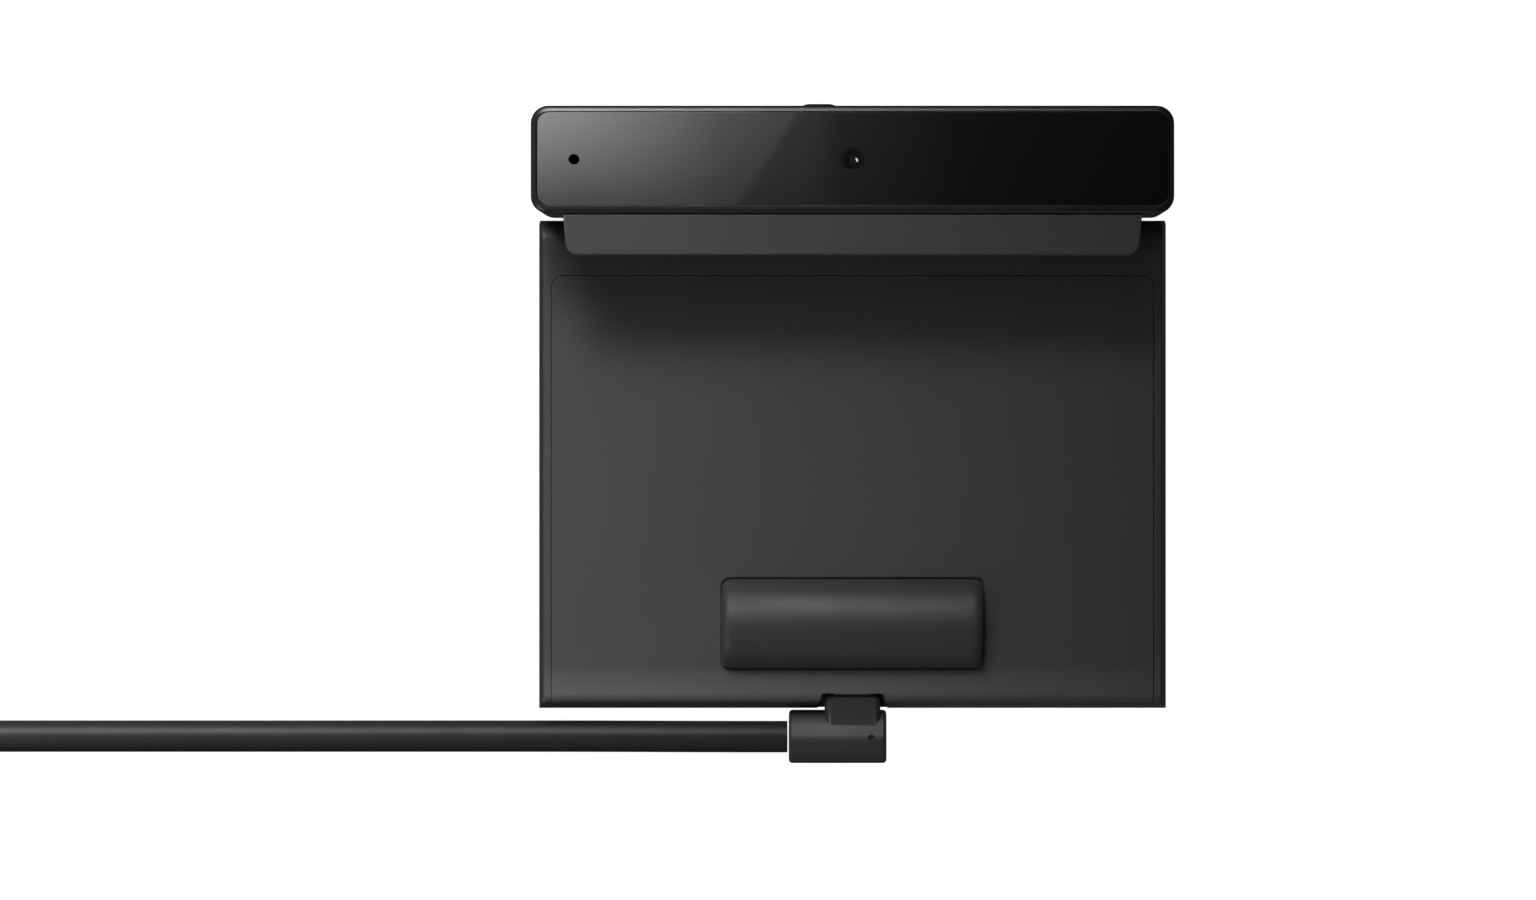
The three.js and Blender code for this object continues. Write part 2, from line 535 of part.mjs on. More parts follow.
function buildElectronics() {
  const holes = SIDES.map(([, sign]) => rod(sign * 47, 51.2, 12, 15, 1));
  add(head, 'main_board', cut(box(
    -BOARD.half, BOARD.half, BOARD.low, BOARD.high, BOARD.back, BOARD.front,
  ), ...holes), BOARD_GREEN);
  for (const [side, sign] of SIDES) {
    add(head, `main_board_screw_${side}`, screw(sign * 47, 51.2, 15.1, 1, 6, 1.9, 0.7), STEEL);
  }
  const top = BOARD.front + GAP;
  add(head, 'image_processor', box(-29, -18, 40.5, 51.5, top, top + 1.2), CHIP);
  const can = cut(box(-31.5, -15.5, 39, 53, top, 17), box(-31.1, -15.9, 39.4, 52.6, 13, 16.6));
  add(head, 'shield_can', can, STEEL);
  add(head, 'thermal_pad', box(-29, -18, 40.5, 51.5, 17.1, 18), RUBBER);
  add(head, 'heat_spreader', slab(-44, -9, 39.2, 53.2, 18.1, 18.9, 1), STEEL);
  add(head, 'microphone', box(MIC_X - 1.5, MIC_X + 1.5, SENSOR_ROW - 1.2, SENSOR_ROW + 1.2, top, 14.9), CHIP);
  add(head, 'microphone_gasket', bush(MIC_X, SENSOR_ROW, 15, FRONT_WALL_BACK - GAP, 0.9, 2), RUBBER);
  add(head, 'status_led', box(LED_X - 0.8, LED_X + 0.8, SENSOR_ROW - 0.5, SENSOR_ROW + 0.5, top, 14.6), CLEAR);
  const pipe = join(rod(LED_X, SENSOR_ROW, 14.8, 27.3, 0.85), rod(LED_X, SENSOR_ROW, 22, 24.4, 1.8));
  add(head, 'light_pipe', pipe, CLEAR);
  const strip = [[28.1, 4.35], [39.6, 4.35], [41.2, 11.4], [43.8, 12.3], [46, 12.3]];
  add(head, 'flex_cable_head', ribbon(strip, 0.3, -8, 8), FLEX);
}

function buildShutter() {
  const blade = join(
    box(-16, -7, 42.2, 52.6, 26.4, 26.9),
    box(KNOB_X - 3, KNOB_X + 1.2, 51.6, 54.2, 26.4, 26.9),
  );
  add(shutter, 'shutter_blade', blade, DARK_PLASTIC);
  const top = HEAD_TOP + KNOB_PROUD;
  const foot = HEAD_TOP + 0.06;
  const cap = new THREE.ExtrudeGeometry(polygon([
    [KNOB_X - KNOB_HALF - 0.9, foot], [KNOB_X + KNOB_HALF + 0.9, foot],
    [KNOB_X + KNOB_HALF, top], [KNOB_X - KNOB_HALF, top],
  ]), { depth: 3.6, bevelEnabled: false }).translate(0, 0, 24.6);
  const stem = box(KNOB_X - 1.2, KNOB_X + 1.2, 54.3, foot + 0.1, 26, 27);
  add(shutter, 'shutter_knob', join(cap, stem), DARK_PLASTIC);
  const spring = ribbonX([[-4.6, 55.2], [-2, 54.75], [1.5, 54.75], [4.4, 55.2]], 0.15, 25.2, 25.6);
  add(head, 'shutter_detent_spring', spring, STEEL);
}

// A thin strip drawn in X and Y and carried from z0 to z1.
function ribbonX(line, thickness, z0, z1) {
  const back = line.map(([x, y]) => [x, y - thickness]).reverse();
  const settings = { depth: z1 - z0, bevelEnabled: false };
  return new THREE.ExtrudeGeometry(polygon([...line, ...back]), settings).translate(0, 0, z0);
}

// ---- the lead -------------------------------------------------------------------------------
// The lead leaves the plug to the left, comes down onto the surface and runs straight to its coil.
const CORD_LOW = CORD_RADIUS + FLOOR_MARGIN;
const RUN = [
  [PLUG.left - 0.3, CORD_Y, PORT_Z],
  [-20, CORD_Y, PORT_Z],
  [-30, CORD_Y, 4.5],
  [-42, CORD_Y, 3.7],
  [-54, CORD_Y, 3.2],
  [-68, CORD_Y, CORD_LOW],
  [-90, CORD_Y, CORD_LOW],
  [-115, CORD_Y, CORD_LOW],
  [-140, CORD_Y, CORD_LOW],
  [-160, CORD_Y, CORD_LOW],
];
const COIL_OUTER = Math.max(...COIL_RADII) + CORD_RADIUS;
const COIL_INNER = Math.min(...COIL_RADII) - CORD_RADIUS;
const COIL_Y = CORD_Y + COIL_RADII[0];
const COIL_HEIGHT = 2 * CORD_RADIUS + Math.max(...COIL_LAYERS) * COIL_LAYER_RISE + FLOOR_MARGIN;

function cordSection() {
  const section = new THREE.Shape();
  const sides = 10;
  for (let i = 0; i < sides; i += 1) {
    const angle = (i / sides) * 2 * Math.PI;
    const place = [Math.cos(angle) * CORD_RADIUS, Math.sin(angle) * CORD_RADIUS];
    if (i === 0) section.moveTo(...place);
    else section.lineTo(...place);
  }
  section.closePath();
  return section;
}

function tube(route, steps) {
  const path = new THREE.CatmullRomCurve3(route.map((p) => new THREE.Vector3(...p)), false, 'centripetal');
  const settings = { extrudePath: path, steps, bevelEnabled: false, curveSegments: 1 };
  return new THREE.ExtrudeGeometry(cordSection(), settings);
}

function buildLead() {
  const middle = (PLUG.back + PLUG.front) / 2;
  const body = softSlab(
    PLUG.left, PLUG.right, PLUG.low, PLUG.high, PLUG.back, PLUG.front, 1.4, 0.7,
  );
  const neck = softSlab(-5.3, 5.3, PLUG.high - 3, PORT_Y - 0.4, PLUG.back + 0.1, PLUG.front - 0.1, 0.9, 0.6);
  const dimple = rod(3.55, -62.9, PLUG.front - 0.6, PLUG.front + 1, 0.6, 16);
  const core = box(-4.2, 4.2, -59, PORT_Y + 2, PORT_Z - 1.3, PORT_Z + 1.3);
  add(cord, 'usb_c_plug_body', cut(join(body, neck), dimple, core), BLACK_PLASTIC);
  const shell = cut(
    slab(-4.1, 4.1, middle - 1.2, middle + 1.2, 0, 10.2, 1.1),
    slab(-3.75, 3.75, middle - 0.85, middle + 0.85, 1, 11, 0.8),
  ).applyMatrix4(ALONG_Y);
  add(cord, 'usb_c_plug_shell', shell.translate(0, -58.7, 0), STEEL);
  const entryHeight = COIL_RADII[0] - CORD_RADIUS;
  const coilEntry = COIL_X + Math.sqrt(COIL_OUTER ** 2 - entryHeight ** 2) + 0.5;
  add(cord, 'lead_run', tube([...RUN, [coilEntry, CORD_Y, CORD_LOW]], 24), RUBBER);
  const section = [
    [COIL_INNER, FLOOR_MARGIN], [COIL_OUTER, FLOOR_MARGIN], [COIL_OUTER, COIL_HEIGHT],
    [COIL_INNER, COIL_HEIGHT], [COIL_INNER, FLOOR_MARGIN],
  ].map(([r, z]) => new THREE.Vector2(r, z));
  const ring = new THREE.LatheGeometry(section, 40).rotateX(Math.PI / 2).translate(COIL_X, COIL_Y, 0);
  const tieSpace = box(COIL_X - 4, COIL_X + 4, COIL_Y + COIL_INNER - 3, COIL_Y + COIL_OUTER + 3, -5, 30);
  add(cord, 'lead_coil', cut(ring, tieSpace), RUBBER);
  const tieOuter = softSlab(
    COIL_X - 3.5, COIL_X + 3.5, COIL_Y + COIL_INNER - 1.2, COIL_Y + COIL_OUTER + 1.2,
    FLOOR_MARGIN, COIL_HEIGHT + 0.8, 0.8, 0.4,
  );
  add(cord, 'cable_tie', tieOuter, RUBBER);
  const tailX = COIL_X - COIL_RADII[COIL_RADII.length - 1];
  const tailStart = COIL_Y + 25.5;
  const plugStart = COIL_Y + TAIL_LENGTH;
  const tail = [
    [tailX, tailStart, 7.9],
    [tailX, tailStart + 6, 6.3],
    [tailX, tailStart + 13, 4.7],
    [tailX, plugStart - 0.3, 4.2],
  ];
  add(cord, 'lead_tail', tube(tail, 5), RUBBER);
  const usbA = softSlab(tailX - 6, tailX + 6, plugStart, plugStart + 20, 0.2, 8.2, 1.6, 0.9);
  add(cord, 'usb_a_plug_body', cut(usbA, box(
    tailX - 5, tailX + 5, plugStart + 15, plugStart + 21, 2.2, 6.2,
  )), BLACK_PLASTIC);
  const shellA = cut(
    box(tailX - 6, tailX + 6, plugStart + 20.2, plugStart + 32, 1.95, 6.45),
    box(tailX - 5.65, tailX + 5.65, plugStart + 21, plugStart + 33, 2.3, 6.1),
  );
  add(cord, 'usb_a_plug_shell', shellA, STEEL);
}

buildPlate();
buildPort();
buildHinges();
buildHeadShell();
buildCamera();
buildElectronics();
buildShutter();
buildLead();

export default object;
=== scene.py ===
import json
import math

import bmesh
import bpy
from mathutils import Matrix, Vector


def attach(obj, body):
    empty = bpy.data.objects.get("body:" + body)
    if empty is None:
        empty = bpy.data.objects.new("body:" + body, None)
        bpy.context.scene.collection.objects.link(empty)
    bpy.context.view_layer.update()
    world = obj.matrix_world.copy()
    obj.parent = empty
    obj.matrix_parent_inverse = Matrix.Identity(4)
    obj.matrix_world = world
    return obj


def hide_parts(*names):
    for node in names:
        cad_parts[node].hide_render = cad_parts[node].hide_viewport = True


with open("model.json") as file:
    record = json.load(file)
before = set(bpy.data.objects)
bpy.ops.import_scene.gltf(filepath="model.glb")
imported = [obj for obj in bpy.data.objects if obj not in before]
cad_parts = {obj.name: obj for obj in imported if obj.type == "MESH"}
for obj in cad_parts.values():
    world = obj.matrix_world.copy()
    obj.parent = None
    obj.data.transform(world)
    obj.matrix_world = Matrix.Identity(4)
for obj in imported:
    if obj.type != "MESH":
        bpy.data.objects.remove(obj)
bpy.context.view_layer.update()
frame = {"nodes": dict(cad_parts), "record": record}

NODES = frame["nodes"]

# ---- units and driving sizes ------------------------------------------------------------------
# Everything is drawn in millimetres, in the part's own drawing. An outline is x0, x1, y0, y1.
MM = 0.001
LIFT = 0.61  # the row frame's Y is the drawing's Y plus this

# the camera bar
HEAD = (-60.0, 60.0, 35.9, 56.05)
HEAD_CORNER = 3.3
HEAD_FRONT = 29.0
WALL = 1.8
WINDOW = (-58.8, 58.8, 37.45, 54.85)
WINDOW_CORNER = 2.2
SENSOR_ROW = 46.0
MICROPHONE_X = -51.9
LED_X = 52.0
HEAD_SCREW_X = 56.3
KNOB_X = -6.25
SHUTTER_TRAVEL = 10.0
BLADE = (-15.9, -7.1, 42.25, 52.5)
HINGE_Y, HINGE_Z = 30.8, 4.2
BARREL = 2.9
BARREL_HALF = 50.2

# the lip
LIP_HALF = 54.0
LIP_LOW, LIP_TOP = 28.2, 35.75
LIP_BACK, LIP_FRONT = 23.9, 28.2
LIP_TAPER = 0.4
LIP_CORNER = 2.3
LIP_EDGE = 0.3
LIP_TABS = (-38, 30)

# the plate
PLATE_BOTTOM, PLATE_FRONT = -57.57, 8.4
PLATE_HALF, FRONT_HALF = 59.8, 58.85
DRAFT_LOW, DRAFT_HIGH = 2.0, 8.0
FOOT_EDGE = -56.3
EAR_RADIUS, EAR_REACH = 4.1, 4.55
PANEL_HALF, PANEL_TOP = 57.1, 24.7
SEAM = 0.15
NOTCH_HALF, NOTCH_MOUTH, NOTCH_TOP = 5.85, 6.65, -54.5
NOTCH_FLOOR = 0.6
BUMPER = (-24.65, 24.65, -49.7, -32.85)
BUMPER_BACK, BUMPER_FRONT = 7.9, 14.6
BUMPER_GAP = 0.4

# the plugs and the lead
PLUG_C = (-12.1, 6.45, -67.8, -57.9)
PLUG_C_BACK = 0.9
NECK_HALF = 5.3
CORD_RADIUS = 3.0
CORD_EXIT_X, CORD_EXIT_Z = -12.4, 4.9
CORD_Y = -62.9
CORD_LOW = 3.05
COIL_X = -206.0
COIL_Y = CORD_Y + 36.0
NESTED = CORD_LOW + 5.3
OVER = CORD_LOW + 6.05
TAIL_X = COIL_X - 33.0
PLUG_A_Y = COIL_Y + 44.0
PLUG_A_Z = 4.2


def place(x, y, z):
    """A point of the drawing, in the row frame and in metres."""
    return Vector((x * MM, (y + LIFT) * MM, z * MM))


# ---- camera -------------------------------------------------------------------------------
camera_data = bpy.data.cameras.new("camera")
camera_data.sensor_width = 36
camera_data.lens = 138.4
camera_data.shift_x = -0.055
camera_data.shift_y = -0.0285
camera_data.clip_start = 0.01
camera = bpy.data.objects.new("camera", camera_data)
camera.location = (0, LIFT * MM, 1.129)
bpy.context.scene.collection.objects.link(camera)
bpy.context.scene.camera = camera

# ---- mesh helpers ---------------------------------------------------------------------------


def link(name, data):
    """A new object in the scene that carries this data."""
    obj = bpy.data.objects.new(name, data)
    bpy.context.scene.collection.objects.link(obj)
    return obj


def shade(obj, angle=32):
    """Smooth faces, with sharp edges above the angle in degrees."""
    for polygon in obj.data.polygons:
        polygon.use_smooth = True
    obj.data.set_sharp_from_angle(angle=math.radians(angle))
    return obj


def weighted(obj):
    """Normals that follow the large faces, so that they stay flat beside a radius."""
    modifier = obj.modifiers.new("normals", "WEIGHTED_NORMAL")
    modifier.keep_sharp = True
    modifier.weight = 60
    return obj


def soften(obj, width, segments=2, angle=38):
    """A fine moulded radius on the sharp edges."""
    modifier = obj.modifiers.new("radius", "BEVEL")
    modifier.width = width * MM
    modifier.segments = segments
    modifier.limit_method = "ANGLE"
    modifier.angle_limit = math.radians(angle)
    modifier.use_clamp_overlap = True
    return obj


def bake(obj):
    """Applies the modifiers to the mesh."""
    graph = bpy.context.evaluated_depsgraph_get()
    graph.update()
    made = bpy.data.meshes.new_from_object(obj.evaluated_get(graph))
    old = obj.data
    obj.modifiers.clear()
    obj.data = made
    bpy.data.meshes.remove(old)
    return obj


def mesh_of(name, verts, faces):
    mesh = bpy.data.meshes.new(name)
    mesh.from_pydata([place(*v) for v in verts], [], faces)
    work = bmesh.new()
    work.from_mesh(mesh)
    bmesh.ops.recalc_face_normals(work, faces=work.faces)
    work.to_mesh(mesh)
    work.free()
    return link(name, mesh)


def loft(name, rings, closed_along=False):
    """rings: lists of 3-D points, all of one length. The ends are capped."""
    count = len(rings[0])
    verts = [p for r in rings for p in r]
    faces = []
    last = len(rings) if closed_along else len(rings) - 1
    for k in range(last):
        a = k * count
        b = ((k + 1) % len(rings)) * count
        for i in range(count):
            j = (i + 1) % count
            faces.append((a + i, a + j, b + j, b + i))
    if not closed_along:
        faces.append(tuple(range(count)))
        faces.append(tuple(range((len(rings) - 1) * count, len(rings) * count)))
    return mesh_of(name, verts, faces)


def arc(cx, cy, r, start, end, steps):
    out = []
    for i in range(steps + 1):
        a = math.radians(start + (end - start) * i / steps)
        out.append((cx + r * math.cos(a), cy + r * math.sin(a)))
    return out


def bezier(p0, p1, p2, p3, steps):
    out = []
    for i in range(1, steps + 1):
        t = i / steps
        s = 1 - t
        out.append(tuple(
            s ** 3 * a + 3 * s * s * t * b + 3 * s * t * t * c + t ** 3 * d
            for a, b, c, d in zip(p0, p1, p2, p3)
        ))
    return out


def rectangle(x0, x1, y0, y1, r, steps=10):
    r = max(r, 0.02)
    return (
        arc(x1 - r, y0 + r, r, -90, 0, steps)
        + arc(x1 - r, y1 - r, r, 0, 90, steps)
        + arc(x0 + r, y1 - r, r, 90, 180, steps)
        + arc(x0 + r, y0 + r, r, 180, 270, steps)
    )


def at_z(points, z):
    return [(x, y, z) for x, y in points]


def rounded_up(x0, x1, y0, y1, corner, z0, z1, low=0.0, high=0.0, steps=6, around=10):
    """Rings of a rounded block from z0 up to z1, with its two rims rounded."""
    rings = []

    def add(inset, z):
        points = rectangle(x0 + inset, x1 - inset, y0 + inset, y1 - inset, corner - inset, around)
        rings.append(at_z(points, z))

    for i in range(steps + 1 if low > 0 else 1):
        a = math.radians(90 * i / steps)
        add(low * (1 - math.sin(a)), z0 + low * (1 - math.cos(a)))
    for i in range(steps + 1 if high > 0 else 1):
        a = math.radians(90 * i / steps)
        add(high * (1 - math.cos(a)), z1 - high * (1 - math.sin(a)))
    return rings


def shrunk(points, amount):
    """An outline moved inwards by amount. The outline is convex or nearly so."""
    if amount == 0:
        return list(points)
    area = sum(a[0] * b[1] - b[0] * a[1] for a, b in zip(points, points[1:] + points[:1]))
    turn = 1 if area > 0 else -1
    out = []
    for before, here, after in zip(points[-1:] + points[:-1], points, points[1:] + points[:1]):
        d1 = Vector((here[0] - before[0], here[1] - before[1]))
        d2 = Vector((after[0] - here[0], after[1] - here[1]))
        d1.normalize()
        d2.normalize()
        n1 = Vector((-d1.y, d1.x)) * turn
        n2 = Vector((-d2.y, d2.x)) * turn
        n = n1 + n2
        n.normalize()
        reach = amount / max(n.dot(n1), 0.4)
        out.append((here[0] + n.x * reach, here[1] + n.y * reach))
    return out


def prism_x(name, outline, x0, x1, edge=0.0, steps=5):
    """A side outline in Y and Z, carried along X, with its two end rims rounded."""
    rings = []

    def add(x, inset):
        rings.append([(x, y, z) for y, z in shrunk(outline, inset)])

    for i in range(steps + 1 if edge > 0 else 1):
        a = math.radians(90 * i / steps)
        add(x0 + edge * (1 - math.cos(a)), edge * (1 - math.sin(a)))
    for i in range(steps + 1 if edge > 0 else 1):
        a = math.radians(90 * i / steps)
        add(x1 - edge * (1 - math.sin(a)), edge * (1 - math.cos(a)))
    return loft(name, rings)


def rod(name, x, y, z0, z1, radius, sides=40):
    points = arc(x, y, radius, 0, 360 - 360 / sides, sides - 1)
    return loft(name, [at_z(points, z0), at_z(points, z1)])


def rod_x(name, x0, x1, y, z, radius, sides=64):
    points = arc(y, z, radius, 0, 360 - 360 / sides, sides - 1)
    return loft(name, [[(x0, a, b) for a, b in points], [(x1, a, b) for a, b in points]])


def block(name, x0, x1, y0, y1, z0, z1):
    points = [(x0, y0), (x1, y0), (x1, y1), (x0, y1)]
    return loft(name, [at_z(points, z0), at_z(points, z1)])


def turned(name, x, y, section, sides=64):
    """A body turned about a line along Z, from its half section (radius, z)."""
    first, last = section[0], section[-1]
    body = [p for p in section if p[0] > 0]
    rings = [at_z(arc(x, y, r, 0, 360 - 360 / sides, sides - 1), z) for r, z in body]
    verts = [p for r in rings for p in r]
    faces = []
    for k in range(len(rings) - 1):
        for i in range(sides):
            j = (i + 1) % sides
            faces.append((k * sides + i, k * sides + j, (k + 1) * sides + j, (k + 1) * sides + i))
    for end, ring_start in ((first, 0), (last, (len(rings) - 1) * sides)):
        if end[0] == 0:
            verts.append((x, y, end[1]))
            tip = len(verts) - 1
            for i in range(sides):
                faces.append((ring_start + i, ring_start + (i + 1) % sides, tip))
        elif first != last:
            faces.append(tuple(range(ring_start, ring_start + sides)))
    if first == last and first[0] > 0:
        top = (len(rings) - 1) * sides
        verts = verts[:top]
        faces = [tuple(v - top if v >= top else v for v in f) for f in faces]
    return mesh_of(name, verts, faces)


def carve(obj, cutters, operation="DIFFERENCE"):
    for cutter in cutters:
        modifier = obj.modifiers.new("cut", "BOOLEAN")
        modifier.operation = operation
        modifier.solver = "EXACT"
        modifier.object = cutter
        bake(obj)
        data = cutter.data
        bpy.data.objects.remove(cutter)
        bpy.data.meshes.remove(data)
    return obj


# ---- materials ------------------------------------------------------------------------------


class Tree:
    """A material's node tree, with short calls to add and join nodes."""

    def __init__(self, name):
        self.material = bpy.data.materials.new(name)
        self.material.use_nodes = True
        self.nodes = self.material.node_tree.nodes
        self.links = self.material.node_tree.links
        self.nodes.clear()
        self.out = self.nodes.new("ShaderNodeOutputMaterial")
        self.shader = self.nodes.new("ShaderNodeBsdfPrincipled")
        self.links.new(self.shader.outputs[0], self.out.inputs["Surface"])
        self.coords = self.nodes.new("ShaderNodeTexCoord").outputs["Object"]

    def join(self, a, b):
        self.links.new(a, b)

    def noise(self, scale, detail=3, roughness=0.55, vector=None):
        node = self.nodes.new("ShaderNodeTexNoise")
        node.inputs["Scale"].default_value = scale
        node.inputs["Detail"].default_value = detail
        node.inputs["Roughness"].default_value = roughness
        self.join(vector or self.coords, node.inputs["Vector"])
        return node.outputs["Fac"]

    def voronoi(self, scale, vector=None):
        node = self.nodes.new("ShaderNodeTexVoronoi")
        node.inputs["Scale"].default_value = scale
        self.join(vector or self.coords, node.inputs["Vector"])
        return node.outputs["Distance"]

    def stretched(self, x, y, z):
        node = self.nodes.new("ShaderNodeMapping")
        node.inputs["Scale"].default_value = (x, y, z)
        self.join(self.coords, node.inputs["Vector"])
        return node.outputs[0]

    def span(self, value, low, high, a, b):
        node = self.nodes.new("ShaderNodeMapRange")
        node.inputs["From Min"].default_value = low
        node.inputs["From Max"].default_value = high
        node.inputs["To Min"].default_value = a
        node.inputs["To Max"].default_value = b
        self.join(value, node.inputs["Value"])
        return node.outputs[0]

    def math(self, operation, a, b=None):
        node = self.nodes.new("ShaderNodeMath")
        node.operation = operation
        for socket, value in zip(node.inputs, (a, b)):
            if value is None:
                continue
            if isinstance(value, (int, float)):
                socket.default_value = value
            else:
                self.join(value, socket)
        return node.outputs[0]

    def mix(self, factor, a, b):
        node = self.nodes.new("ShaderNodeMix")
        node.data_type = "RGBA"
        self.join(factor, node.inputs["Factor"])
        for socket, value in ((node.inputs[6], a), (node.inputs[7], b)):
            if isinstance(value, (tuple, list)):
                socket.default_value = (*value, 1)
            else:
                self.join(value, socket)
        return node.outputs[2]

    def bump(self, height, distance, strength):
        node = self.nodes.new("ShaderNodeBump")
        node.inputs["Distance"].default_value = distance * MM
        node.inputs["Strength"].default_value = strength
        self.join(height, node.inputs["Height"])
        return node.outputs[0]

    def edges(self, radius):
        """1 on sharp edges, 0 on flat faces."""
        bevel = self.nodes.new("ShaderNodeBevel")
        bevel.samples = 4
        bevel.inputs["Radius"].default_value = radius * MM
        geometry = self.nodes.new("ShaderNodeNewGeometry")
        dot = self.nodes.new("ShaderNodeVectorMath")
        dot.operation = "DOT_PRODUCT"
        self.join(bevel.outputs[0], dot.inputs[0])
        self.join(geometry.outputs["Normal"], dot.inputs[1])
        return self.span(dot.outputs["Value"], 0.995, 0.9, 0, 1)

    def set(self, **values):
        for name, value in values.items():
            self.shader.inputs[name.replace("_", " ")].default_value = value


def plastic(
    name, dark, light, rough, spread=0.06, grain=0.012, grain_scale=4200, worn=1.0, specular=0.4,
):
    """Moulded plastic: spark-eroded grain, slow patches of sheen, slightly polished edges."""
    t = Tree(name)
    patches = t.noise(38, 4, 0.6)
    fine = t.noise(grain_scale, 2, 0.5)
    pits = t.voronoi(grain_scale * 0.55)
    edge = t.math("MULTIPLY", t.edges(0.35), t.noise(260, 3))
    tone = t.mix(t.span(patches, 0.3, 0.7, 0, 1), dark, light)
    grained = t.mix(t.span(fine, 0.42, 0.75, 0, 0.35), tone, tuple(1.5 * c for c in light))
    worn_tone = tuple(min(1, (1 + 1.4 * worn) * c) for c in light)
    t.join(t.mix(t.math("MULTIPLY", edge, 0.7), grained, worn_tone), t.shader.inputs["Base Color"])
    wide = t.span(t.noise(95, 5, 0.65), 0.32, 0.68, rough - spread, rough + spread)
    t.join(t.math("SUBTRACT", wide, t.math("MULTIPLY", edge, 0.12 * worn)), t.shader.inputs["Roughness"])
    height = t.math("ADD", fine, t.math("MULTIPLY", pits, 0.6))
    t.join(t.bump(height, grain, 0.55), t.shader.inputs["Normal"])
    t.set(Specular_IOR_Level=specular)
    return t.material


def glass_pane(name):
    """Black-printed glass, clear only in front of the lens and over the status light."""
    t = Tree(name)
    smear = t.noise(24, 5, 0.62, t.stretched(1, 2.4, 1))
    t.join(t.span(smear, 0.35, 0.75, 0.02, 0.03), t.shader.inputs["Roughness"])
    t.join(t.mix(t.noise(600, 2), (0.0012, 0.0012, 0.0013), (0.0022, 0.0022, 0.0024)),
           t.shader.inputs["Base Color"])
    apart = t.nodes.new("ShaderNodeSeparateXYZ")
    t.join(t.coords, apart.inputs[0])

    def disc(x, y, radius, soft):
        dx = t.math("SUBTRACT", apart.outputs["X"], x * MM)
        dy = t.math("SUBTRACT", apart.outputs["Y"], (y + LIFT) * MM)
        far = t.math("SQRT", t.math("ADD", t.math("MULTIPLY", dx, dx), t.math("MULTIPLY", dy, dy)))
        return t.span(far, (radius - soft) * MM, (radius + soft) * MM, 1, 0)

    lens = t.math("MULTIPLY", disc(0, SENSOR_ROW, 2.2, 0.5), 0.8)
    led = t.math("MULTIPLY", disc(LED_X, SENSOR_ROW, 0.9, 0.6), 0.5)
    clear = t.math("MAXIMUM", t.math("MAXIMUM", lens, led), 0.06)
    t.join(t.math("SUBTRACT", 1.0, clear), t.shader.inputs["Alpha"])
    t.set(IOR=1.5, Coat_Weight=0.0)
    return t.material


def rubber(name, dark, light, rough):
    """Soft rubber: matt, faintly dusty, with a fine skin."""
    t = Tree(name)
    patches = t.noise(70, 4, 0.6)
    skin = t.noise(2600, 3, 0.6)
    tone = t.mix(t.span(patches, 0.3, 0.7, 0, 1), dark, light)
    dust = t.span(t.noise(900, 2), 0.62, 0.75, 0, 0.35)
    t.join(t.mix(dust, tone, tuple(1.9 * c for c in light)), t.shader.inputs["Base Color"])
    t.join(t.span(t.noise(160, 4), 0.3, 0.7, rough - 0.05, rough + 0.07), t.shader.inputs["Roughness"])
    t.join(t.bump(skin, 0.015, 0.6), t.shader.inputs["Normal"])
    t.set(Specular_IOR_Level=0.42, Sheen_Weight=0.04, Sheen_Roughness=0.5)
    return t.material


def steel(name, tone, rough, direction=(1, 40, 40)):
    """Nickel-plated steel with fine drawn lines and a few dull spots."""
    t = Tree(name)
    lines = t.noise(220, 4, 0.7, t.stretched(*direction))
    spots = t.noise(300, 4, 0.6)
    dull = tuple(0.62 * c for c in tone)
    t.join(t.mix(t.span(spots, 0.45, 0.8, 0, 0.6), tone, dull), t.shader.inputs["Base Color"])
    t.join(t.span(lines, 0.3, 0.7, rough - 0.08, rough + 0.1), t.shader.inputs["Roughness"])
    t.join(t.bump(lines, 0.004, 0.5), t.shader.inputs["Normal"])
    t.set(Metallic=1.0)
    return t.material


def board(name):
    """Green solder mask over copper tracks."""
    t = Tree(name)
    brick = t.nodes.new("ShaderNodeTexBrick")
    brick.inputs["Scale"].default_value = 380
    brick.inputs["Mortar Size"].default_value = 0.03
    brick.inputs["Color1"].default_value = (0.012, 0.085, 0.03, 1)
    brick.inputs["Color2"].default_value = (0.016, 0.11, 0.04, 1)
    brick.inputs["Mortar"].default_value = (0.03, 0.17, 0.07, 1)
    t.join(t.coords, brick.inputs["Vector"])
    t.join(brick.outputs["Color"], t.shader.inputs["Base Color"])
    t.join(t.span(t.noise(500, 3), 0.3, 0.7, 0.28, 0.42), t.shader.inputs["Roughness"])
    t.join(t.bump(brick.outputs["Fac"], 0.03, 0.6), t.shader.inputs["Normal"])
    return t.material


def film(name):
    """Orange polyimide with the copper showing through."""
    t = Tree(name)
    wave = t.nodes.new("ShaderNodeTexWave")
    wave.bands_direction = "X"
    wave.inputs["Scale"].default_value = 260
    wave.inputs["Distortion"].default_value = 0.2
    t.join(t.coords, wave.inputs["Vector"])
    tone = t.mix(wave.outputs["Fac"], (0.42, 0.15, 0.03), (0.55, 0.24, 0.07))
    t.join(tone, t.shader.inputs["Base Color"])
    t.join(t.span(t.noise(400), 0.3, 0.7, 0.25, 0.4), t.shader.inputs["Roughness"])
    t.join(t.bump(wave.outputs["Fac"], 0.02, 0.4), t.shader.inputs["Normal"])
    return t.material


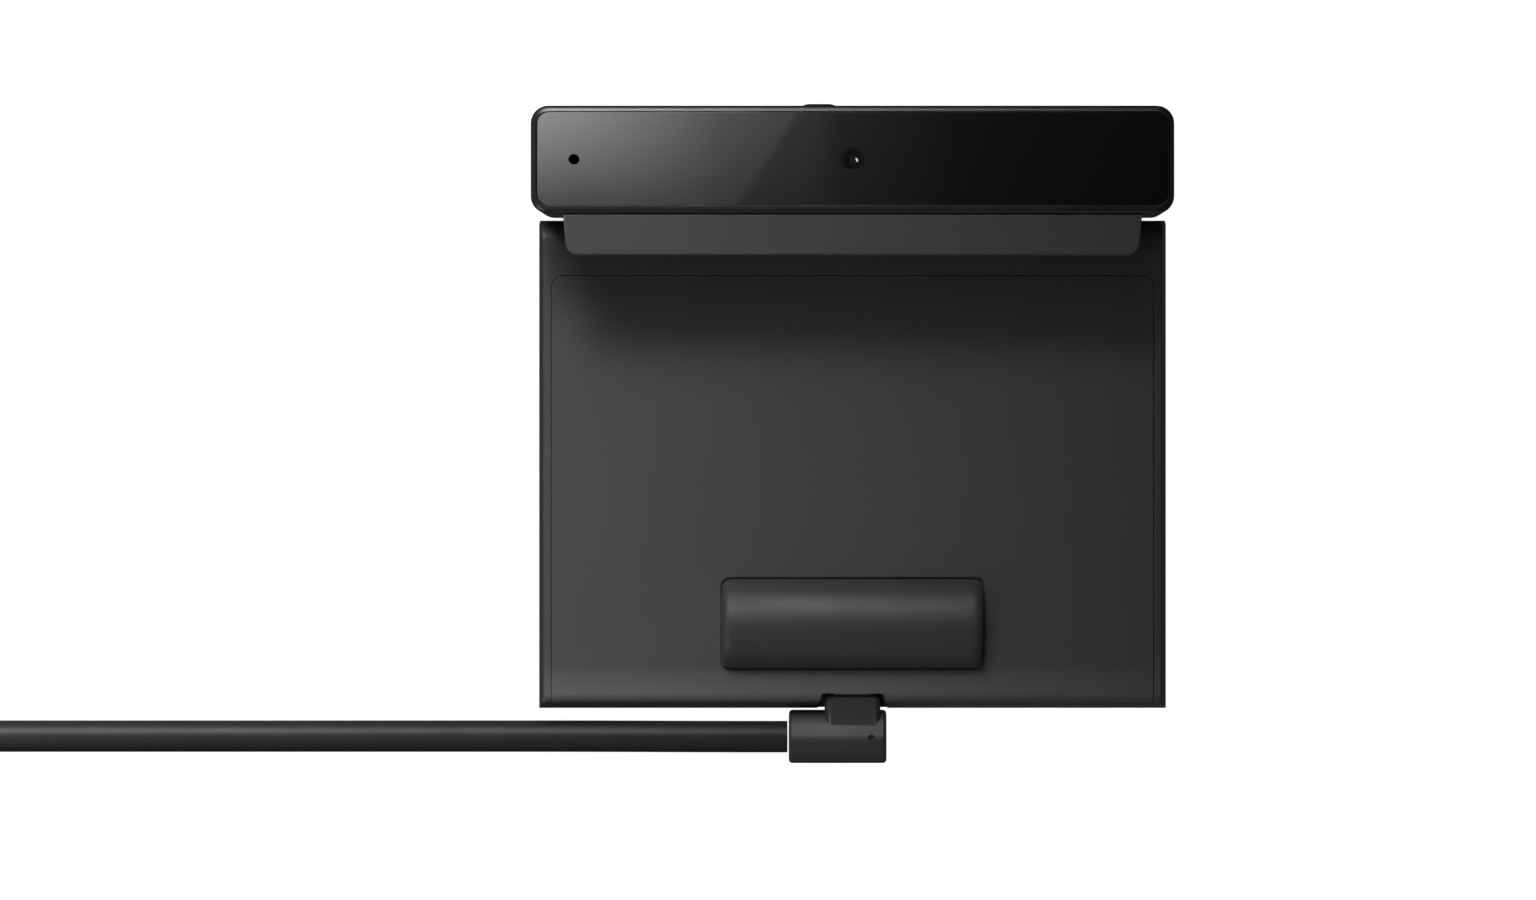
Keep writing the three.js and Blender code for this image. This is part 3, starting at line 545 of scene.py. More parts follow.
def lens_glass(name):
    """A coated lens: dark glass with a faint blue-violet bloom in its centre."""
    t = Tree(name)
    facing = t.nodes.new("ShaderNodeLayerWeight")
    facing.inputs["Blend"].default_value = 0.4
    t.join(t.mix(facing.outputs["Facing"], (0.004, 0.004, 0.009), (0.001, 0.001, 0.002)),
           t.shader.inputs["Base Color"])
    t.join(t.span(t.noise(900), 0.3, 0.7, 0.02, 0.05), t.shader.inputs["Roughness"])
    t.set(IOR=1.6)
    return t.material


def woven(name):
    t = Tree(name)
    wave_a = t.nodes.new("ShaderNodeTexWave")
    wave_a.inputs["Scale"].default_value = 520
    wave_a.bands_direction = "X"
    wave_b = t.nodes.new("ShaderNodeTexWave")
    wave_b.inputs["Scale"].default_value = 520
    wave_b.bands_direction = "Y"
    for wave in (wave_a, wave_b):
        t.join(t.coords, wave.inputs["Vector"])
    weave = t.math("MULTIPLY", wave_a.outputs["Fac"], wave_b.outputs["Fac"])
    t.join(t.mix(weave, (0.007, 0.007, 0.008), (0.022, 0.022, 0.024)), t.shader.inputs["Base Color"])
    t.join(t.span(t.noise(700), 0.3, 0.7, 0.7, 0.9), t.shader.inputs["Roughness"])
    t.join(t.bump(weave, 0.12, 0.8), t.shader.inputs["Normal"])
    t.set(Sheen_Weight=0.2, Sheen_Roughness=0.4)
    return t.material


def clear_plastic(name):
    t = Tree(name)
    t.join(t.mix(t.noise(800), (0.75, 0.78, 0.8), (0.85, 0.87, 0.88)), t.shader.inputs["Base Color"])
    t.join(t.span(t.noise(500), 0.3, 0.7, 0.1, 0.25), t.shader.inputs["Roughness"])
    t.set(Transmission_Weight=0.6, IOR=1.49)
    return t.material


BLACK = plastic("black_plastic", (0.0196, 0.0196, 0.0203), (0.0210, 0.0210, 0.0218), 0.47, 0.025,
                specular=0.62)
BEZEL = plastic("polished_bezel", (0.010, 0.010, 0.0104), (0.012, 0.012, 0.0124), 0.3, 0.02,
                grain=0.002, grain_scale=3000, worn=0.1, specular=0.3)
# The lip's plastic is the black plastic made a little lighter and glossier. The lighter colour is
# painted light, for the lip that stands unshadowed in front of the plate. Its edges are less worn.
LIP_PLASTIC_PAINTED_LIGHT = plastic("lip_plastic_painted_light", (0.0205, 0.0205, 0.0213), (0.0222, 0.0222, 0.0231), 0.45, 0.02,
                      worn=0.3, specular=0.66)
DARK = plastic("dark_plastic", (0.008, 0.008, 0.0085), (0.011, 0.011, 0.0115), 0.42)
SHEATH = plastic("lead_sheath", (0.0105, 0.0105, 0.0109), (0.0120, 0.0120, 0.0124), 0.5, 0.02,
                 grain=0.006, grain_scale=1800, worn=0.0, specular=0.15)
MOULDED = plastic("overmould", (0.0150, 0.0150, 0.0155), (0.0172, 0.0172, 0.0178), 0.48, 0.05,
                  grain=0.01, grain_scale=3000, worn=0.6, specular=0.26)
GLASS = glass_pane("window_glass")
LENS = lens_glass("lens_glass")
RUBBER = rubber("rubber", (0.0180, 0.0180, 0.0187), (0.0210, 0.0210, 0.0217), 0.55)
FOAM = rubber("adhesive_foam", (0.012, 0.012, 0.012), (0.02, 0.02, 0.02), 0.75)
STEEL = steel("nickel_steel", (0.56, 0.56, 0.57), 0.3)
ALUMINIUM = steel("aluminium_sheet", (0.74, 0.74, 0.75), 0.38, (40, 1, 40))
BOARD = board("circuit_board")
RESIN = plastic("chip_resin", (0.014, 0.014, 0.015), (0.02, 0.02, 0.021), 0.4, 0.05,
                grain=0.006, grain_scale=2600, worn=0.4)
FILM = film("flex_film")
STRAP = woven("strap_weave")
CLEAR = clear_plastic("clear_plastic")

LOOKS = {
    "black_plastic": BLACK, "dark_plastic": DARK, "lead_plastic": MOULDED, "window_glass": GLASS,
    "lens_glass": LENS, "rubber": RUBBER, "adhesive": FOAM, "steel": STEEL, "aluminium": ALUMINIUM,
    "circuit_board": BOARD, "chip_resin": RESIN, "flex_film": FILM, "clear_plastic": CLEAR,
}


def dress(obj, look):
    obj.data.materials.clear()
    obj.data.materials.append(look)


def coat(obj, look, angle=32):
    """The usual end of a moulded piece: smooth faces, weighted normals and its material."""
    shade(obj, angle)
    weighted(obj)
    dress(obj, look)


for part in frame["record"]["subparts"]:
    node = NODES[part["node"]]
    for slot_index in range(max(1, len(node.data.materials))):
        if slot_index < len(node.data.materials):
            node.data.materials[slot_index] = LOOKS[part["material_slot"]]
        else:
            node.data.materials.append(LOOKS[part["material_slot"]])

# ---- the lead: one curve from the plug to the USB-A plug -----------------------------------
RUN = [
    (CORD_EXIT_X, CORD_EXIT_Z), (-16, 4.9), (-20, 4.9), (-25, 4.75), (-30, 4.5), (-36, 4.1), (-42, 3.7),
    (-48, 3.4), (-54, 3.2), (-61, 3.1), (-68, CORD_LOW), (-79, CORD_LOW), (-90, CORD_LOW),
    (-102, CORD_LOW), (-115, CORD_LOW), (-127, CORD_LOW), (-140, CORD_LOW), (-150, CORD_LOW),
    (-160, CORD_LOW), (-172, CORD_LOW), (-184, CORD_LOW), (-196, CORD_LOW),
]
COIL_TURNS = 4.25
PER_TURN = 26  # points in each turn of the coil


def ease(t, a, b):
    """0 before a, 1 after b, and a smooth step between them."""
    u = min(1.0, max(0.0, (t - a) / (b - a)))
    return u * u * (3 - 2 * u)


def coil_place(turns):
    """Radius and height at so many turns from the coil's start. The turns lie side by side,
    then go back out in the hollows of the first layer."""
    turn = int(turns)
    t = turns - turn
    if turn < 2:
        return 36 - 6 * turn - 6 * ease(t, 0.65, 0.9), CORD_LOW
    if turn == 2:
        rise = (OVER - CORD_LOW) * ease(t, 0.46, 0.66) - (OVER - NESTED) * ease(t, 0.9, 0.99)
        return 24 + 3 * ease(t, 0.65, 0.9), CORD_LOW + rise
    if turn == 3:
        lift = (OVER - NESTED) * (ease(t, 0.22, 0.32) - ease(t, 0.5, 0.56) + ease(t, 0.6, 0.7))
        return 27 + 6 * ease(t, 0.28, 0.5), NESTED + lift
    return 33.0, OVER


def lead_points():
    points = [(x, CORD_Y, z) for x, z in RUN]
    for i in range(int(COIL_TURNS * PER_TURN) + 1):
        turns = i / PER_TURN
        radius, height = coil_place(turns)
        angle = 2 * math.pi * turns
        points.append((COIL_X - radius * math.sin(angle), COIL_Y - radius * math.cos(angle), height))
    tail = [
        (4, OVER), (11, OVER), (17, OVER - 0.1), (22, OVER - 0.6), (26, 7.6), (31, 6.3), (36, 5.2),
        (40, 4.55), (42.5, 4.3), (43.7, PLUG_A_Z),
    ]
    return points + [(TAIL_X, COIL_Y + y, z) for y, z in tail]


def cord_curve(name, points, radius, radii=None):
    data = bpy.data.curves.new(name, "CURVE")
    data.dimensions = "3D"
    data.bevel_depth = radius * MM
    data.bevel_resolution = 7
    data.resolution_u = 5
    data.use_fill_caps = True
    spline = data.splines.new("BEZIER")
    spline.bezier_points.add(len(points) - 1)
    for i, (point, target) in enumerate(zip(points, spline.bezier_points)):
        target.co = place(*point)
        target.handle_left_type = "AUTO"
        target.handle_right_type = "AUTO"
        if radii:
            target.radius = radii[i]
    return link(name, data)


lead = cord_curve("lead", lead_points(), CORD_RADIUS)
lead.data.materials.append(SHEATH)
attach(lead, "plate")
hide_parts("lead_run", "lead_coil", "lead_tail")

# ---- the camera head --------------------------------------------------------------------------
# The front rim, as inset and height: a tight outer radius, then a shallow crown up to the glass.
RIM = (
    (0.18, 20.1), (0.05, 20.15), (0.0, 20.28), (0.0, 27.95), (0.03, 28.2), (0.1, 28.42), (0.22, 28.59),
    (0.38, 28.71), (0.56, 28.81), (0.75, 28.9), (0.92, 28.96), (1.04, 28.99),
)


def grown(box, amount, corner, steps=10):
    """A rounded rectangle: the box's outline moved outwards by amount."""
    x0, x1, y0, y1 = box
    return rectangle(x0 - amount, x1 + amount, y0 - amount, y1 + amount, corner, steps)


def build_head_front():
    """The front shell: the rim round the glass, and the holes for what looks out of it."""
    inner = grown(HEAD, -WALL, 1.5)
    rings = [at_z(inner, 24.6), at_z(inner, 20.1)]
    rings += [at_z(grown(HEAD, -inset, HEAD_CORNER - inset), z) for inset, z in RIM]
    for gap, depth in ((0.14, 0), (0.07, 0.03), (0.05, 0.12), (0.05, 1.6)):
        rings.append(at_z(grown(WINDOW, gap, WINDOW_CORNER + gap), HEAD_FRONT - depth))
    shell = loft("head_front_shell", rings)
    track_end = KNOB_X + 1.6 + SHUTTER_TRAVEL
    # the shutter's track and the slot for its slider
    cutters = [
        block("c", BLADE[0] - 0.7, track_end, BLADE[2] - 0.65, 54.5, 25.9, 28),
        block("c", KNOB_X - 1.6, track_end, 54, 58, 25.8, 27.2),
    ]
    # the lens, the microphone and the status light
    for x, radius in ((0, 3.1), (MICROPHONE_X, 0.9), (LED_X, 1.1)):
        cutters.append(rod("c", x, SENSOR_ROW, 20, 30, radius))
    # pockets for the lip's tabs
    for x in LIP_TABS:
        cutters.append(block("c", x - 5.2, x + 5.2, 34, 38, 22.6, 24.9))
    carve(shell, cutters)
    shade(shell)
    weighted(shell)
    shell.data.materials.append(BLACK)
    shell.data.materials.append(BEZEL)
    for polygon in shell.data.polygons:
        if polygon.center.z > (HEAD_FRONT - 0.95) * MM:
            polygon.material_index = 1
    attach(shell, "head")
    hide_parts("head_front_housing")


def build_head_rear():
    """The rear shell, with the neck that carries the hinge barrel."""
    low_edge = HEAD[2]
    rings = rounded_up(*HEAD, HEAD_CORNER, 0, 19.9, 2.9, 0.18, 9)
    inner = grown(HEAD, -WALL, 1.5)
    rings += [at_z(inner, 19.9), at_z(inner, WALL)]
    shell = loft("head_rear_shell", rings)
    neck_low, neck_high = 2.8, 5.6
    neck = [
        (HINGE_Y, neck_low), (low_edge + 1, neck_low), (low_edge + 1, neck_high), (HINGE_Y, neck_high),
    ]
    r = 1.3
    angles = (0.0, 0.4, 0.8, 1.2, 1.57)
    fillet = (
        [(low_edge + 0.6, 1.6), (low_edge + 0.6, 7.0)]
        + [(low_edge - r + r * math.cos(a), 6.9 - r * math.sin(a)) for a in angles]
        + [(HINGE_Y + 1, neck_high), (HINGE_Y + 1, neck_low)]
        + [(low_edge - r + r * math.cos(a), 1.5 + r * math.sin(a)) for a in reversed(angles)]
    )
    carve(shell, [
        prism_x("c", neck, -BARREL_HALF, BARREL_HALF),
        prism_x("c", fillet, 0.1 - BARREL_HALF, BARREL_HALF - 0.1),
        rod_x("c", -BARREL_HALF, BARREL_HALF, HINGE_Y, HINGE_Z, BARREL),
    ], "UNION")
    # the flex cable's slot, the bores for the hinge sleeves, and the screw holes
    holes = [block("c", -9, 9, HINGE_Y - 4, 40, 3.3, 5.1)]
    for sign in (-1, 1):
        holes.append(rod_x("c", *sorted((sign * 35.4, sign * 51)), HINGE_Y, HINGE_Z, 2.2))
        holes.append(rod("c", sign * HEAD_SCREW_X, SENSOR_ROW, -1, 2.2, 2.1))
        holes.append(rod("c", sign * HEAD_SCREW_X, SENSOR_ROW, -1, 5, 1.05))
    carve(shell, holes)
    soften(shell, 0.14)
    coat(shell, BLACK)
    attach(shell, "head")
    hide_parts("head_rear_housing")


def build_window():
    """The glass over the whole front, with the microphone's hole."""
    rings = rounded_up(*WINDOW, WINDOW_CORNER, 27.8, HEAD_FRONT - 0.1, 0.1, 0.1, 4, 14)
    pane = loft("window_pane", rings)
    carve(pane, [rod("c", MICROPHONE_X, SENSOR_ROW, 27, 30, 0.97, 64)])
    soften(pane, 0.05, 2, 60)
    coat(pane, GLASS)
    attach(pane, "head")
    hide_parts("front_window")


def build_lip():
    """The lip that hangs in front of the television, with two tabs into the front shell."""
    def ring(inset, z):
        top, low = LIP_TOP - inset * 0.4, LIP_LOW + inset
        wide = LIP_HALF - inset
        narrow = wide - LIP_TAPER
        r = LIP_CORNER - inset
        points = arc(narrow - r, low + r, r, -90, 0, 12)
        points += [(wide, top), (-wide, top)]
        points += arc(-narrow + r, low + r, r, 180, 270, 12)
        return at_z(points, z)

    rings = []
    for i in range(6):
        a = math.radians(90 * i / 5)
        rings.append(ring(LIP_EDGE * (1 - math.sin(a)), LIP_BACK + LIP_EDGE * (1 - math.cos(a))))
    for i in range(8):
        a = math.radians(90 * i / 7)
        rings.append(ring(LIP_EDGE * (1 - math.cos(a)), LIP_FRONT - LIP_EDGE * (1 - math.sin(a))))
    lip = loft("lip", rings)
    tabs = [block("c", x - 5, x + 5, 34.5, 38.4, LIP_BACK, LIP_BACK + 0.6) for x in LIP_TABS]
    carve(lip, tabs, "UNION")
    # the lip's colour is a little lighter than the black plastic: painted light
    coat(lip, LIP_PLASTIC_PAINTED_LIGHT)
    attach(lip, "head")
    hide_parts("front_lip")


def build_pads():
    """The two soft strips that touch the television."""
    pad = loft("lip_pad_strip", rounded_up(-51, 51, 29.2, 34.8, 1, 23.2, 23.8, 0.15, 0.0, 4))
    rows = [(35.2, 10.6), (35.2, 19.4), (35.8, 19.4), (35.8, 10.6)]
    rest = soften(prism_x("rest_pad_strip", rows, -51, 51), 0.2, 3)
    for obj, node in ((pad, "lip_pad"), (rest, "rest_pad")):
        shade(obj)
        weighted(obj)
        dress(obj, RUBBER)
        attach(obj, "head")
        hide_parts(node)


def build_lens():
    """The barrel with its stepped mouth, and the domed front element, which is returned."""
    section = [
        (1.8, 16.0), (2.8, 16.0), (2.8, 25.95), (2.72, 26.07), (2.62, 26.1), (2.5, 26.05), (2.42, 25.85),
        (2.15, 25.75), (2.1, 25.45), (1.85, 25.4), (1.8, 25.3), (1.8, 16.0),
    ]
    barrel = turned("lens_barrel_ringed", 0, SENSOR_ROW, section, 72)
    shade(barrel, 25)
    dress(barrel, DARK)
    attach(barrel, "head")
    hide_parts("lens_barrel")
    dome = [(0.0, 24.2), (1.7, 24.2), (1.7, 24.85)]
    radius = 2.05
    for i in range(1, 11):
        a = math.radians(56 * (1 - i / 10))
        dome.append((radius * math.sin(a) if i < 10 else 0.0, 25.8 - radius * (1 - math.cos(a))))
    glass = turned("lens_front_dome", 0, SENSOR_ROW, dome, 64)
    shade(glass, 40)
    dress(glass, LENS)
    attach(glass, "head")
    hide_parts("lens_front_element")
    return glass


def build_shutter():
    """The leaf behind the glass, and the ribbed slider on the top edge that moves it."""
    outline = rectangle(*BLADE, 0.8, 6)
    inner = shrunk(outline, 0.06)
    blade = loft("shutter_leaf", [
        at_z(inner, 26.4), at_z(outline, 26.46), at_z(outline, 26.84), at_z(inner, 26.9),
    ])
    carve(blade, [block("c", KNOB_X - 2.9, KNOB_X + 1.1, 51.7, 54.1, 26.42, 26.88)], "UNION")
    shade(blade)
    foot, top = 56.11, 56.35
    profile = [(KNOB_X - 2.95, foot), (KNOB_X + 2.95, foot), (KNOB_X + 2.05, top), (KNOB_X - 2.05, top)]
    knob = loft("shutter_thumb", [at_z(profile, 24.6), at_z(profile, 28.2)])
    grooves = []
    for i in range(6):
        x = KNOB_X - 1.5 + 0.6 * i
        grooves.append(block("c", x, x + 0.25, 56.25, 56.5, 24.9, 27.9))
    carve(knob, grooves)
    carve(knob, [block("c", KNOB_X - 1.2, KNOB_X + 1.2, 54.3, 56.15, 26.0, 27.0)], "UNION")
    soften(knob, 0.05)
    shade(knob)
    for obj, node in ((blade, "shutter_blade"), (knob, "shutter_knob")):
        weighted(obj)
        dress(obj, DARK)
        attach(obj, "shutter")
        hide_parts(node)


# ---- the plate --------------------------------------------------------------------------------
NOTCH_SIDE = [
    (NOTCH_MOUTH, PLATE_BOTTOM - 1.03), (NOTCH_MOUTH, PLATE_BOTTOM + 0.6), (6.3, -56.2), (5.95, -55.3),
    (NOTCH_HALF, NOTCH_TOP),
]
NOTCH = [(-NOTCH_MOUTH, PLATE_BOTTOM - 1.03)] + NOTCH_SIDE
NOTCH += [(-x, y) for x, y in reversed(NOTCH_SIDE[1:])]


def plate_outline(ears=True):
    """The plate's side outline in Y and Z, with or without the hinge ears."""
    points = [(PLATE_BOTTOM + 1, 0.0)]
    if ears:
        stretch = EAR_REACH / EAR_RADIUS
        ear = arc(HINGE_Y, HINGE_Z, EAR_RADIUS, -80, 90, 26)
        ear = [(HINGE_Y + (y - HINGE_Y) * stretch, z) for y, z in ear]
        points += [(HINGE_Y - 1.5, 0.0)] + ear + [(HINGE_Y - 1.2, PLATE_FRONT)]
    else:
        points += [(30.0, 0.0), (30.0, PLATE_FRONT)]
    points += [(0.0, PLATE_FRONT), (-45.0, PLATE_FRONT)]
    points += bezier((-49.2, 8.4), (-50.4, 8.4), (-51.6, 8.54), (-52.6, 8.64), 10)
    points += bezier((-52.6, 8.64), (-54.2, 8.8), (-55.2, 9.05), (-55.75, 8.85), 8)
    points += bezier((-55.75, 8.85), (-56.1, 8.7), (FOOT_EDGE, 8.4), (FOOT_EDGE, DRAFT_HIGH - 0.2), 8)
    points += [(PLATE_BOTTOM, DRAFT_LOW)] + arc(PLATE_BOTTOM + 1, 1, 1, 180, 262, 6)
    return points


def plate_draft():
    """The side walls lean in towards the front and end in a small radius."""
    half = [
        (PLATE_HALF, -1), (PLATE_HALF, DRAFT_LOW), (FRONT_HALF, DRAFT_HIGH), (FRONT_HALF - 0.08, 8.2),
        (FRONT_HALF - 0.22, 8.33), (FRONT_HALF - 0.4, PLATE_FRONT), (FRONT_HALF - 0.5, 14),
    ]
    points = half + [(-x, z) for x, z in reversed(half)]
    return loft("c", [[(x, y, z) for x, z in points] for y in (-70, 50)])


def build_plate():
    """The plate's rear shell, with its leaning side walls and its two hinge ears."""
    shell = prism_x("plate_shell", plate_outline(), -PLATE_HALF - 1, PLATE_HALF + 1)
    carve(shell, [plate_draft()], "INTERSECT")
    recess = rectangle(-PANEL_HALF - SEAM, PANEL_HALF + SEAM, -64, PANEL_TOP + SEAM, 2.4, 8)
    cavity = rectangle(-56.6, 56.6, -55.3, 23.4, 1, 4)
    room = BARREL_HALF + 0.4
    cutters = [
        loft("c", [at_z(recess, 6.5), at_z(recess, 14)]),
        loft("c", [at_z(cavity, 1.6), at_z(cavity, 7)]),
        rod_x("c", -room, room, HINGE_Y, HINGE_Z, BARREL + 0.4),
        block("c", -room, room, HINGE_Y, 40, 0.9, 7.5),
        block("c", -room, room, HINGE_Y - 1.5, 40, -1, 14),
        loft("c", [at_z(NOTCH, NOTCH_FLOOR), at_z(NOTCH, 14)]),
        block("c", -9, 9, 22.7, HINGE_Y, 3.2, 5.2),
    ]
    # on each side: the bracket's pocket, the shaft's hole and two screw heads
    for sign in (-1, 1):
        cutters.append(block("c", *sorted((sign * 52.4, sign * 56.9)), 16, 33, 1.6, 6.4))
        cutters.append(rod_x("c", *sorted((sign * 50, sign * 53)), HINGE_Y, HINGE_Z, 2.9))
        for y in (20, -50):
            x = sign * (48.5 if y > 0 else 52)
            cutters.append(rod("c", x, y, -1, 2, 2.1))
    carve(shell, cutters)
    soften(shell, 0.09)
    coat(shell, BLACK)
    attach(shell, "plate")
    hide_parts("plate_frame")


def build_panel():
    """The plate's front cover, with the bumper's pocket and the raised foot."""
    panel = prism_x("front_panel", plate_outline(False), -PANEL_HALF, PANEL_HALF)
    keep = rectangle(-PANEL_HALF, PANEL_HALF, -64, PANEL_TOP, 2.2, 8)
    carve(panel, [loft("c", [at_z(keep, 6.8), at_z(keep, 14)])], "INTERSECT")
    pocket = grown(BUMPER, BUMPER_GAP, 1.65, 8)
    carve(panel, [
        loft("c", [at_z(pocket, 7.6), at_z(pocket, 14)]),
        loft("c", [at_z(NOTCH, NOTCH_FLOOR), at_z(NOTCH, 14)]),
    ])
    soften(panel, 0.1)
    coat(panel, BLACK)
    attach(panel, "plate")
    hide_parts("plate_front_panel")


def build_bumper():
    """The crowned rubber pad that rests on the television's back."""
    x0, x1, low, high = BUMPER
    back, front = BUMPER_BACK, BUMPER_FRONT
    middle = (low + high) / 2
    half = (high - low) / 2
    crown, shoulder = 9.2, 1.2
    reach = math.asin((half - shoulder) / (crown - shoulder))
    shoulder_z = front - crown + (crown - shoulder) * math.cos(reach)

    def section(inset):
        """Foot, shoulder, over the crown and down again, all moved inwards by inset."""
        points = [(middle + half - inset, back)]
        side = []
        for i in range(9):
            a = (math.pi / 2 - reach) * i / 8
            r = max(shoulder - inset, 0.02)
            side.append((half - shoulder + r * math.cos(a), shoulder_z + r * math.sin(a)))
        points += [(middle + y, z) for y, z in side]
        for i in range(1, 36):
            a = reach * (1 - 2 * i / 36)
            r = crown - inset
            points.append((middle + r * math.sin(a), front - crown + r * math.cos(a)))
        points += [(middle - y, z) for y, z in reversed(side)]
        points.append((middle - half + inset, back))
        return [(y, max(z, back + 0.001 * k)) for k, (y, z) in enumerate(points)]

    rings = []
    ends = 1.9
    steps = 10
    for i in range(steps + 1):
        a = math.radians(90 * i / steps)
        inset = shoulder * (1 - math.sin(a)) * 0.98
        x = x0 + ends * (1 - math.cos(a))
        rings.append([(x, y, z) for y, z in section(inset)])
    for i in range(1, 12):
        x = x0 + ends + (x1 - x0 - 2 * ends) * i / 12
        rings.append([(x, y, z) for y, z in section(0)])
    for i in range(steps + 1):
        a = math.radians(90 * i / steps)
        inset = shoulder * (1 - math.cos(a)) * 0.98
        x = x1 - ends + ends * math.sin(a)
        rings.append([(x, y, z) for y, z in section(inset)])
    pad = loft("bumper", rings)
    coat(pad, RUBBER, 60)
    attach(pad, "plate")
    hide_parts("bumper_pad")


# ---- the plugs --------------------------------------------------------------------------------


def build_usb_c():
    """The right-angle plug's overmould, with its neck and the dimple on its front."""
    x0, x1, y0, y1 = PLUG_C
    z0 = PLUG_C_BACK
    outline = arc(y0 + 1.5, z0 + 1.5, 1.5, 180, 270, 8) + arc(y1 - 1.5, z0 + 1.5, 1.5, -90, 0, 8)
    outline += [(y1, 4.8)]
    outline += bezier((y1, 4.8), (y1 - 0.05, 6.0), (-59.2, 7.35), (-60.8, 8.06), 10)
    outline += bezier((-60.8, 8.06), (-61.3, 8.25), (-61.9, 8.46), (-62.4, 8.64), 4)
    outline += bezier((-62.4, 8.64), (-62.8, 8.78), (-63.2, 8.86), (-63.8, 8.88), 6)
    outline += bezier((-63.8, 8.88), (-64.6, 8.9), (-65.4, 8.82), (-66.2, 8.68), 6)
    outline += bezier((-66.2, 8.68), (-67.2, 8.5), (y0, 7.9), (y0, 6.9), 8)
    body = prism_x("usb_c_overmould", outline, x0, x1, 0.7, 6)
    neck_rings = []
    for y, inset in ((-61, 0), (-55.6, 0), (-55.25, 0.07), (-55.0, 0.25), (-54.9, 0.55)):
        half = NECK_HALF - inset
        points = rectangle(-half, half, 1.0 + inset, 7.9 - inset, 1.3 - inset * 0.5, 8)
        neck_rings.append([(x, y, z) for x, z in points])
    carve(body, [loft("c", neck_rings)], "UNION")
    hollow = [(0.0, 8.1), (0.35, 8.14), (0.55, 8.3), (0.6, 8.6), (0.66, 9.4), (0.0, 9.4)]
    carve(body, [turned("c", 3.55, CORD_Y, hollow, 32)])
    soften(body, 0.1, 2, 50)
    coat(body, MOULDED)
    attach(body, "plate")
    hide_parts("usb_c_plug_body")
    return body


def build_usb_a():
    """The far plug: ribbed overmould, steel sleeve and the tongue that holds its contacts."""
    x0, x1 = TAIL_X - 6, TAIL_X + 6
    rings = []
    stations = [(0.0, 1.9), (0.15, 1.2), (0.6, 0.55), (1.3, 0.18), (2.2, 0.0)]
    for groove in (6.0, 8.0, 10.0):
        stations += [(groove, 0.0), (groove + 0.3, 0.35), (groove + 1.0, 0.35), (groove + 1.3, 0.0)]
    stations += [(18.6, 0.0), (19.3, 0.15), (19.8, 0.5), (20.0, 1.0)]
    for y, inset in stations:
        points = rectangle(x0 + inset, x1 - inset, 0.2 + inset, 8.2 - inset, 2.4 - inset * 0.5, 8)
        rings.append([(x, PLUG_A_Y + y, z) for x, z in points])
    body = loft("usb_a_overmould", rings)
    coat(body, MOULDED, 28)
    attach(body, "plate")
    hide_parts("usb_a_plug_body")
    outer, inner = [], []
    for y, inset in ((19.4, 0), (31.7, 0), (31.9, 0.06), (32.0, 0.18)):
        points = rectangle(x0 + inset, x1 - inset, 1.95 + inset, 6.45 - inset, 0.5, 5)
        outer.append([(x, PLUG_A_Y + y, z) for x, z in points])
    for y in (20.4, 33):
        points = rectangle(x0 + 0.32, x1 - 0.32, 2.27, 6.13, 0.25, 5)
        inner.append([(x, PLUG_A_Y + y, z) for x, z in points])
    shell = loft("usb_a_sleeve", outer)
    cutters = [loft("c", inner)]
    for x in (TAIL_X - 2.9, TAIL_X + 2.9):
        cutters.append(block("c", x - 1.1, x + 1.1, PLUG_A_Y + 25, PLUG_A_Y + 27.3, 5.5, 7))
    carve(shell, cutters)
    soften(shell, 0.05)
    coat(shell, STEEL)
    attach(shell, "plate")
    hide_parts("usb_a_plug_shell")
    tongue = block("usb_a_tongue", x0 + 0.5, x1 - 0.5, PLUG_A_Y + 20.45, PLUG_A_Y + 31.2, 2.32, 4.1)
    soften(tongue, 0.15, 3)
    shade(tongue)
    dress(tongue, DARK)
    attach(tongue, "plate")
    return body, shell, tongue


def build_strain_relief():
    """The tapered, ribbed sleeve where the lead enters the far plug."""
    points, radii = [], []
    for i in range(25):
        s = i / 24
        y = COIL_Y + 32.5 + s * 11.3
        u = (y - (COIL_Y + 31)) / 13
        z = 6.3 + (PLUG_A_Z - 6.3) * (1 - (1 - u) ** 1.7)
        points.append((TAIL_X, y, z))
        rib = 0.1 * (1 if (i // 2) % 2 else 0)
        radii.append(1.06 + 0.28 * s - rib)
    sleeve = cord_curve("usb_a_relief", points, CORD_RADIUS, radii)
    sleeve.data.materials.append(MOULDED)
    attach(sleeve, "plate")
    return sleeve


def build_tie():
    """A woven strap round the coil's far side."""
    thickness = 0.75
    outer = rectangle(COIL_Y + 19.85, COIL_Y + 40.15, 0.06, 12.75, 4.6, 10)
    inner = shrunk(outer, thickness)
    x0, x1 = COIL_X - 3.4, COIL_X + 3.4
    e = 0.18
    rings = []
    for (oy, oz), (iy, iz) in zip(outer, inner):
        dy = (oy - iy) / thickness * e
        dz = (oz - iz) / thickness * e
        rings.append([
            (x0, iy + dy, iz + dz), (x0 + e, iy, iz), (x1 - e, iy, iz), (x1, iy + dy, iz + dz),
            (x1, oy - dy, oz - dz), (x1 - e, oy, oz), (x0 + e, oy, oz), (x0, oy - dy, oz - dz),
        ])
    strap = loft("tie_strap", rings, closed_along=True)
    shade(strap, 40)
    dress(strap, STRAP)
    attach(strap, "plate")
    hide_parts("cable_tie")
    return strap


build_head_front()
build_head_rear()
build_window()
build_lip()
build_pads()
lens_dome = build_lens()
build_shutter()
build_plate()
build_panel()
build_bumper()
plug_c = build_usb_c()
plug_a, sleeve_a, tongue_a = build_usb_a()
relief = build_strain_relief()
tie = build_tie()

# ---- floor and light --------------------------------------------------------------------------


def sheet(name, x0, x1, y0, y1, z):
    """A flat rectangle, in metres. Its face looks down."""
    mesh = bpy.data.meshes.new(name)
    mesh.from_pydata([(x0, y0, z), (x0, y1, z), (x1, y1, z), (x1, y0, z)], [], [(0, 1, 2, 3)])
    return link(name, mesh)


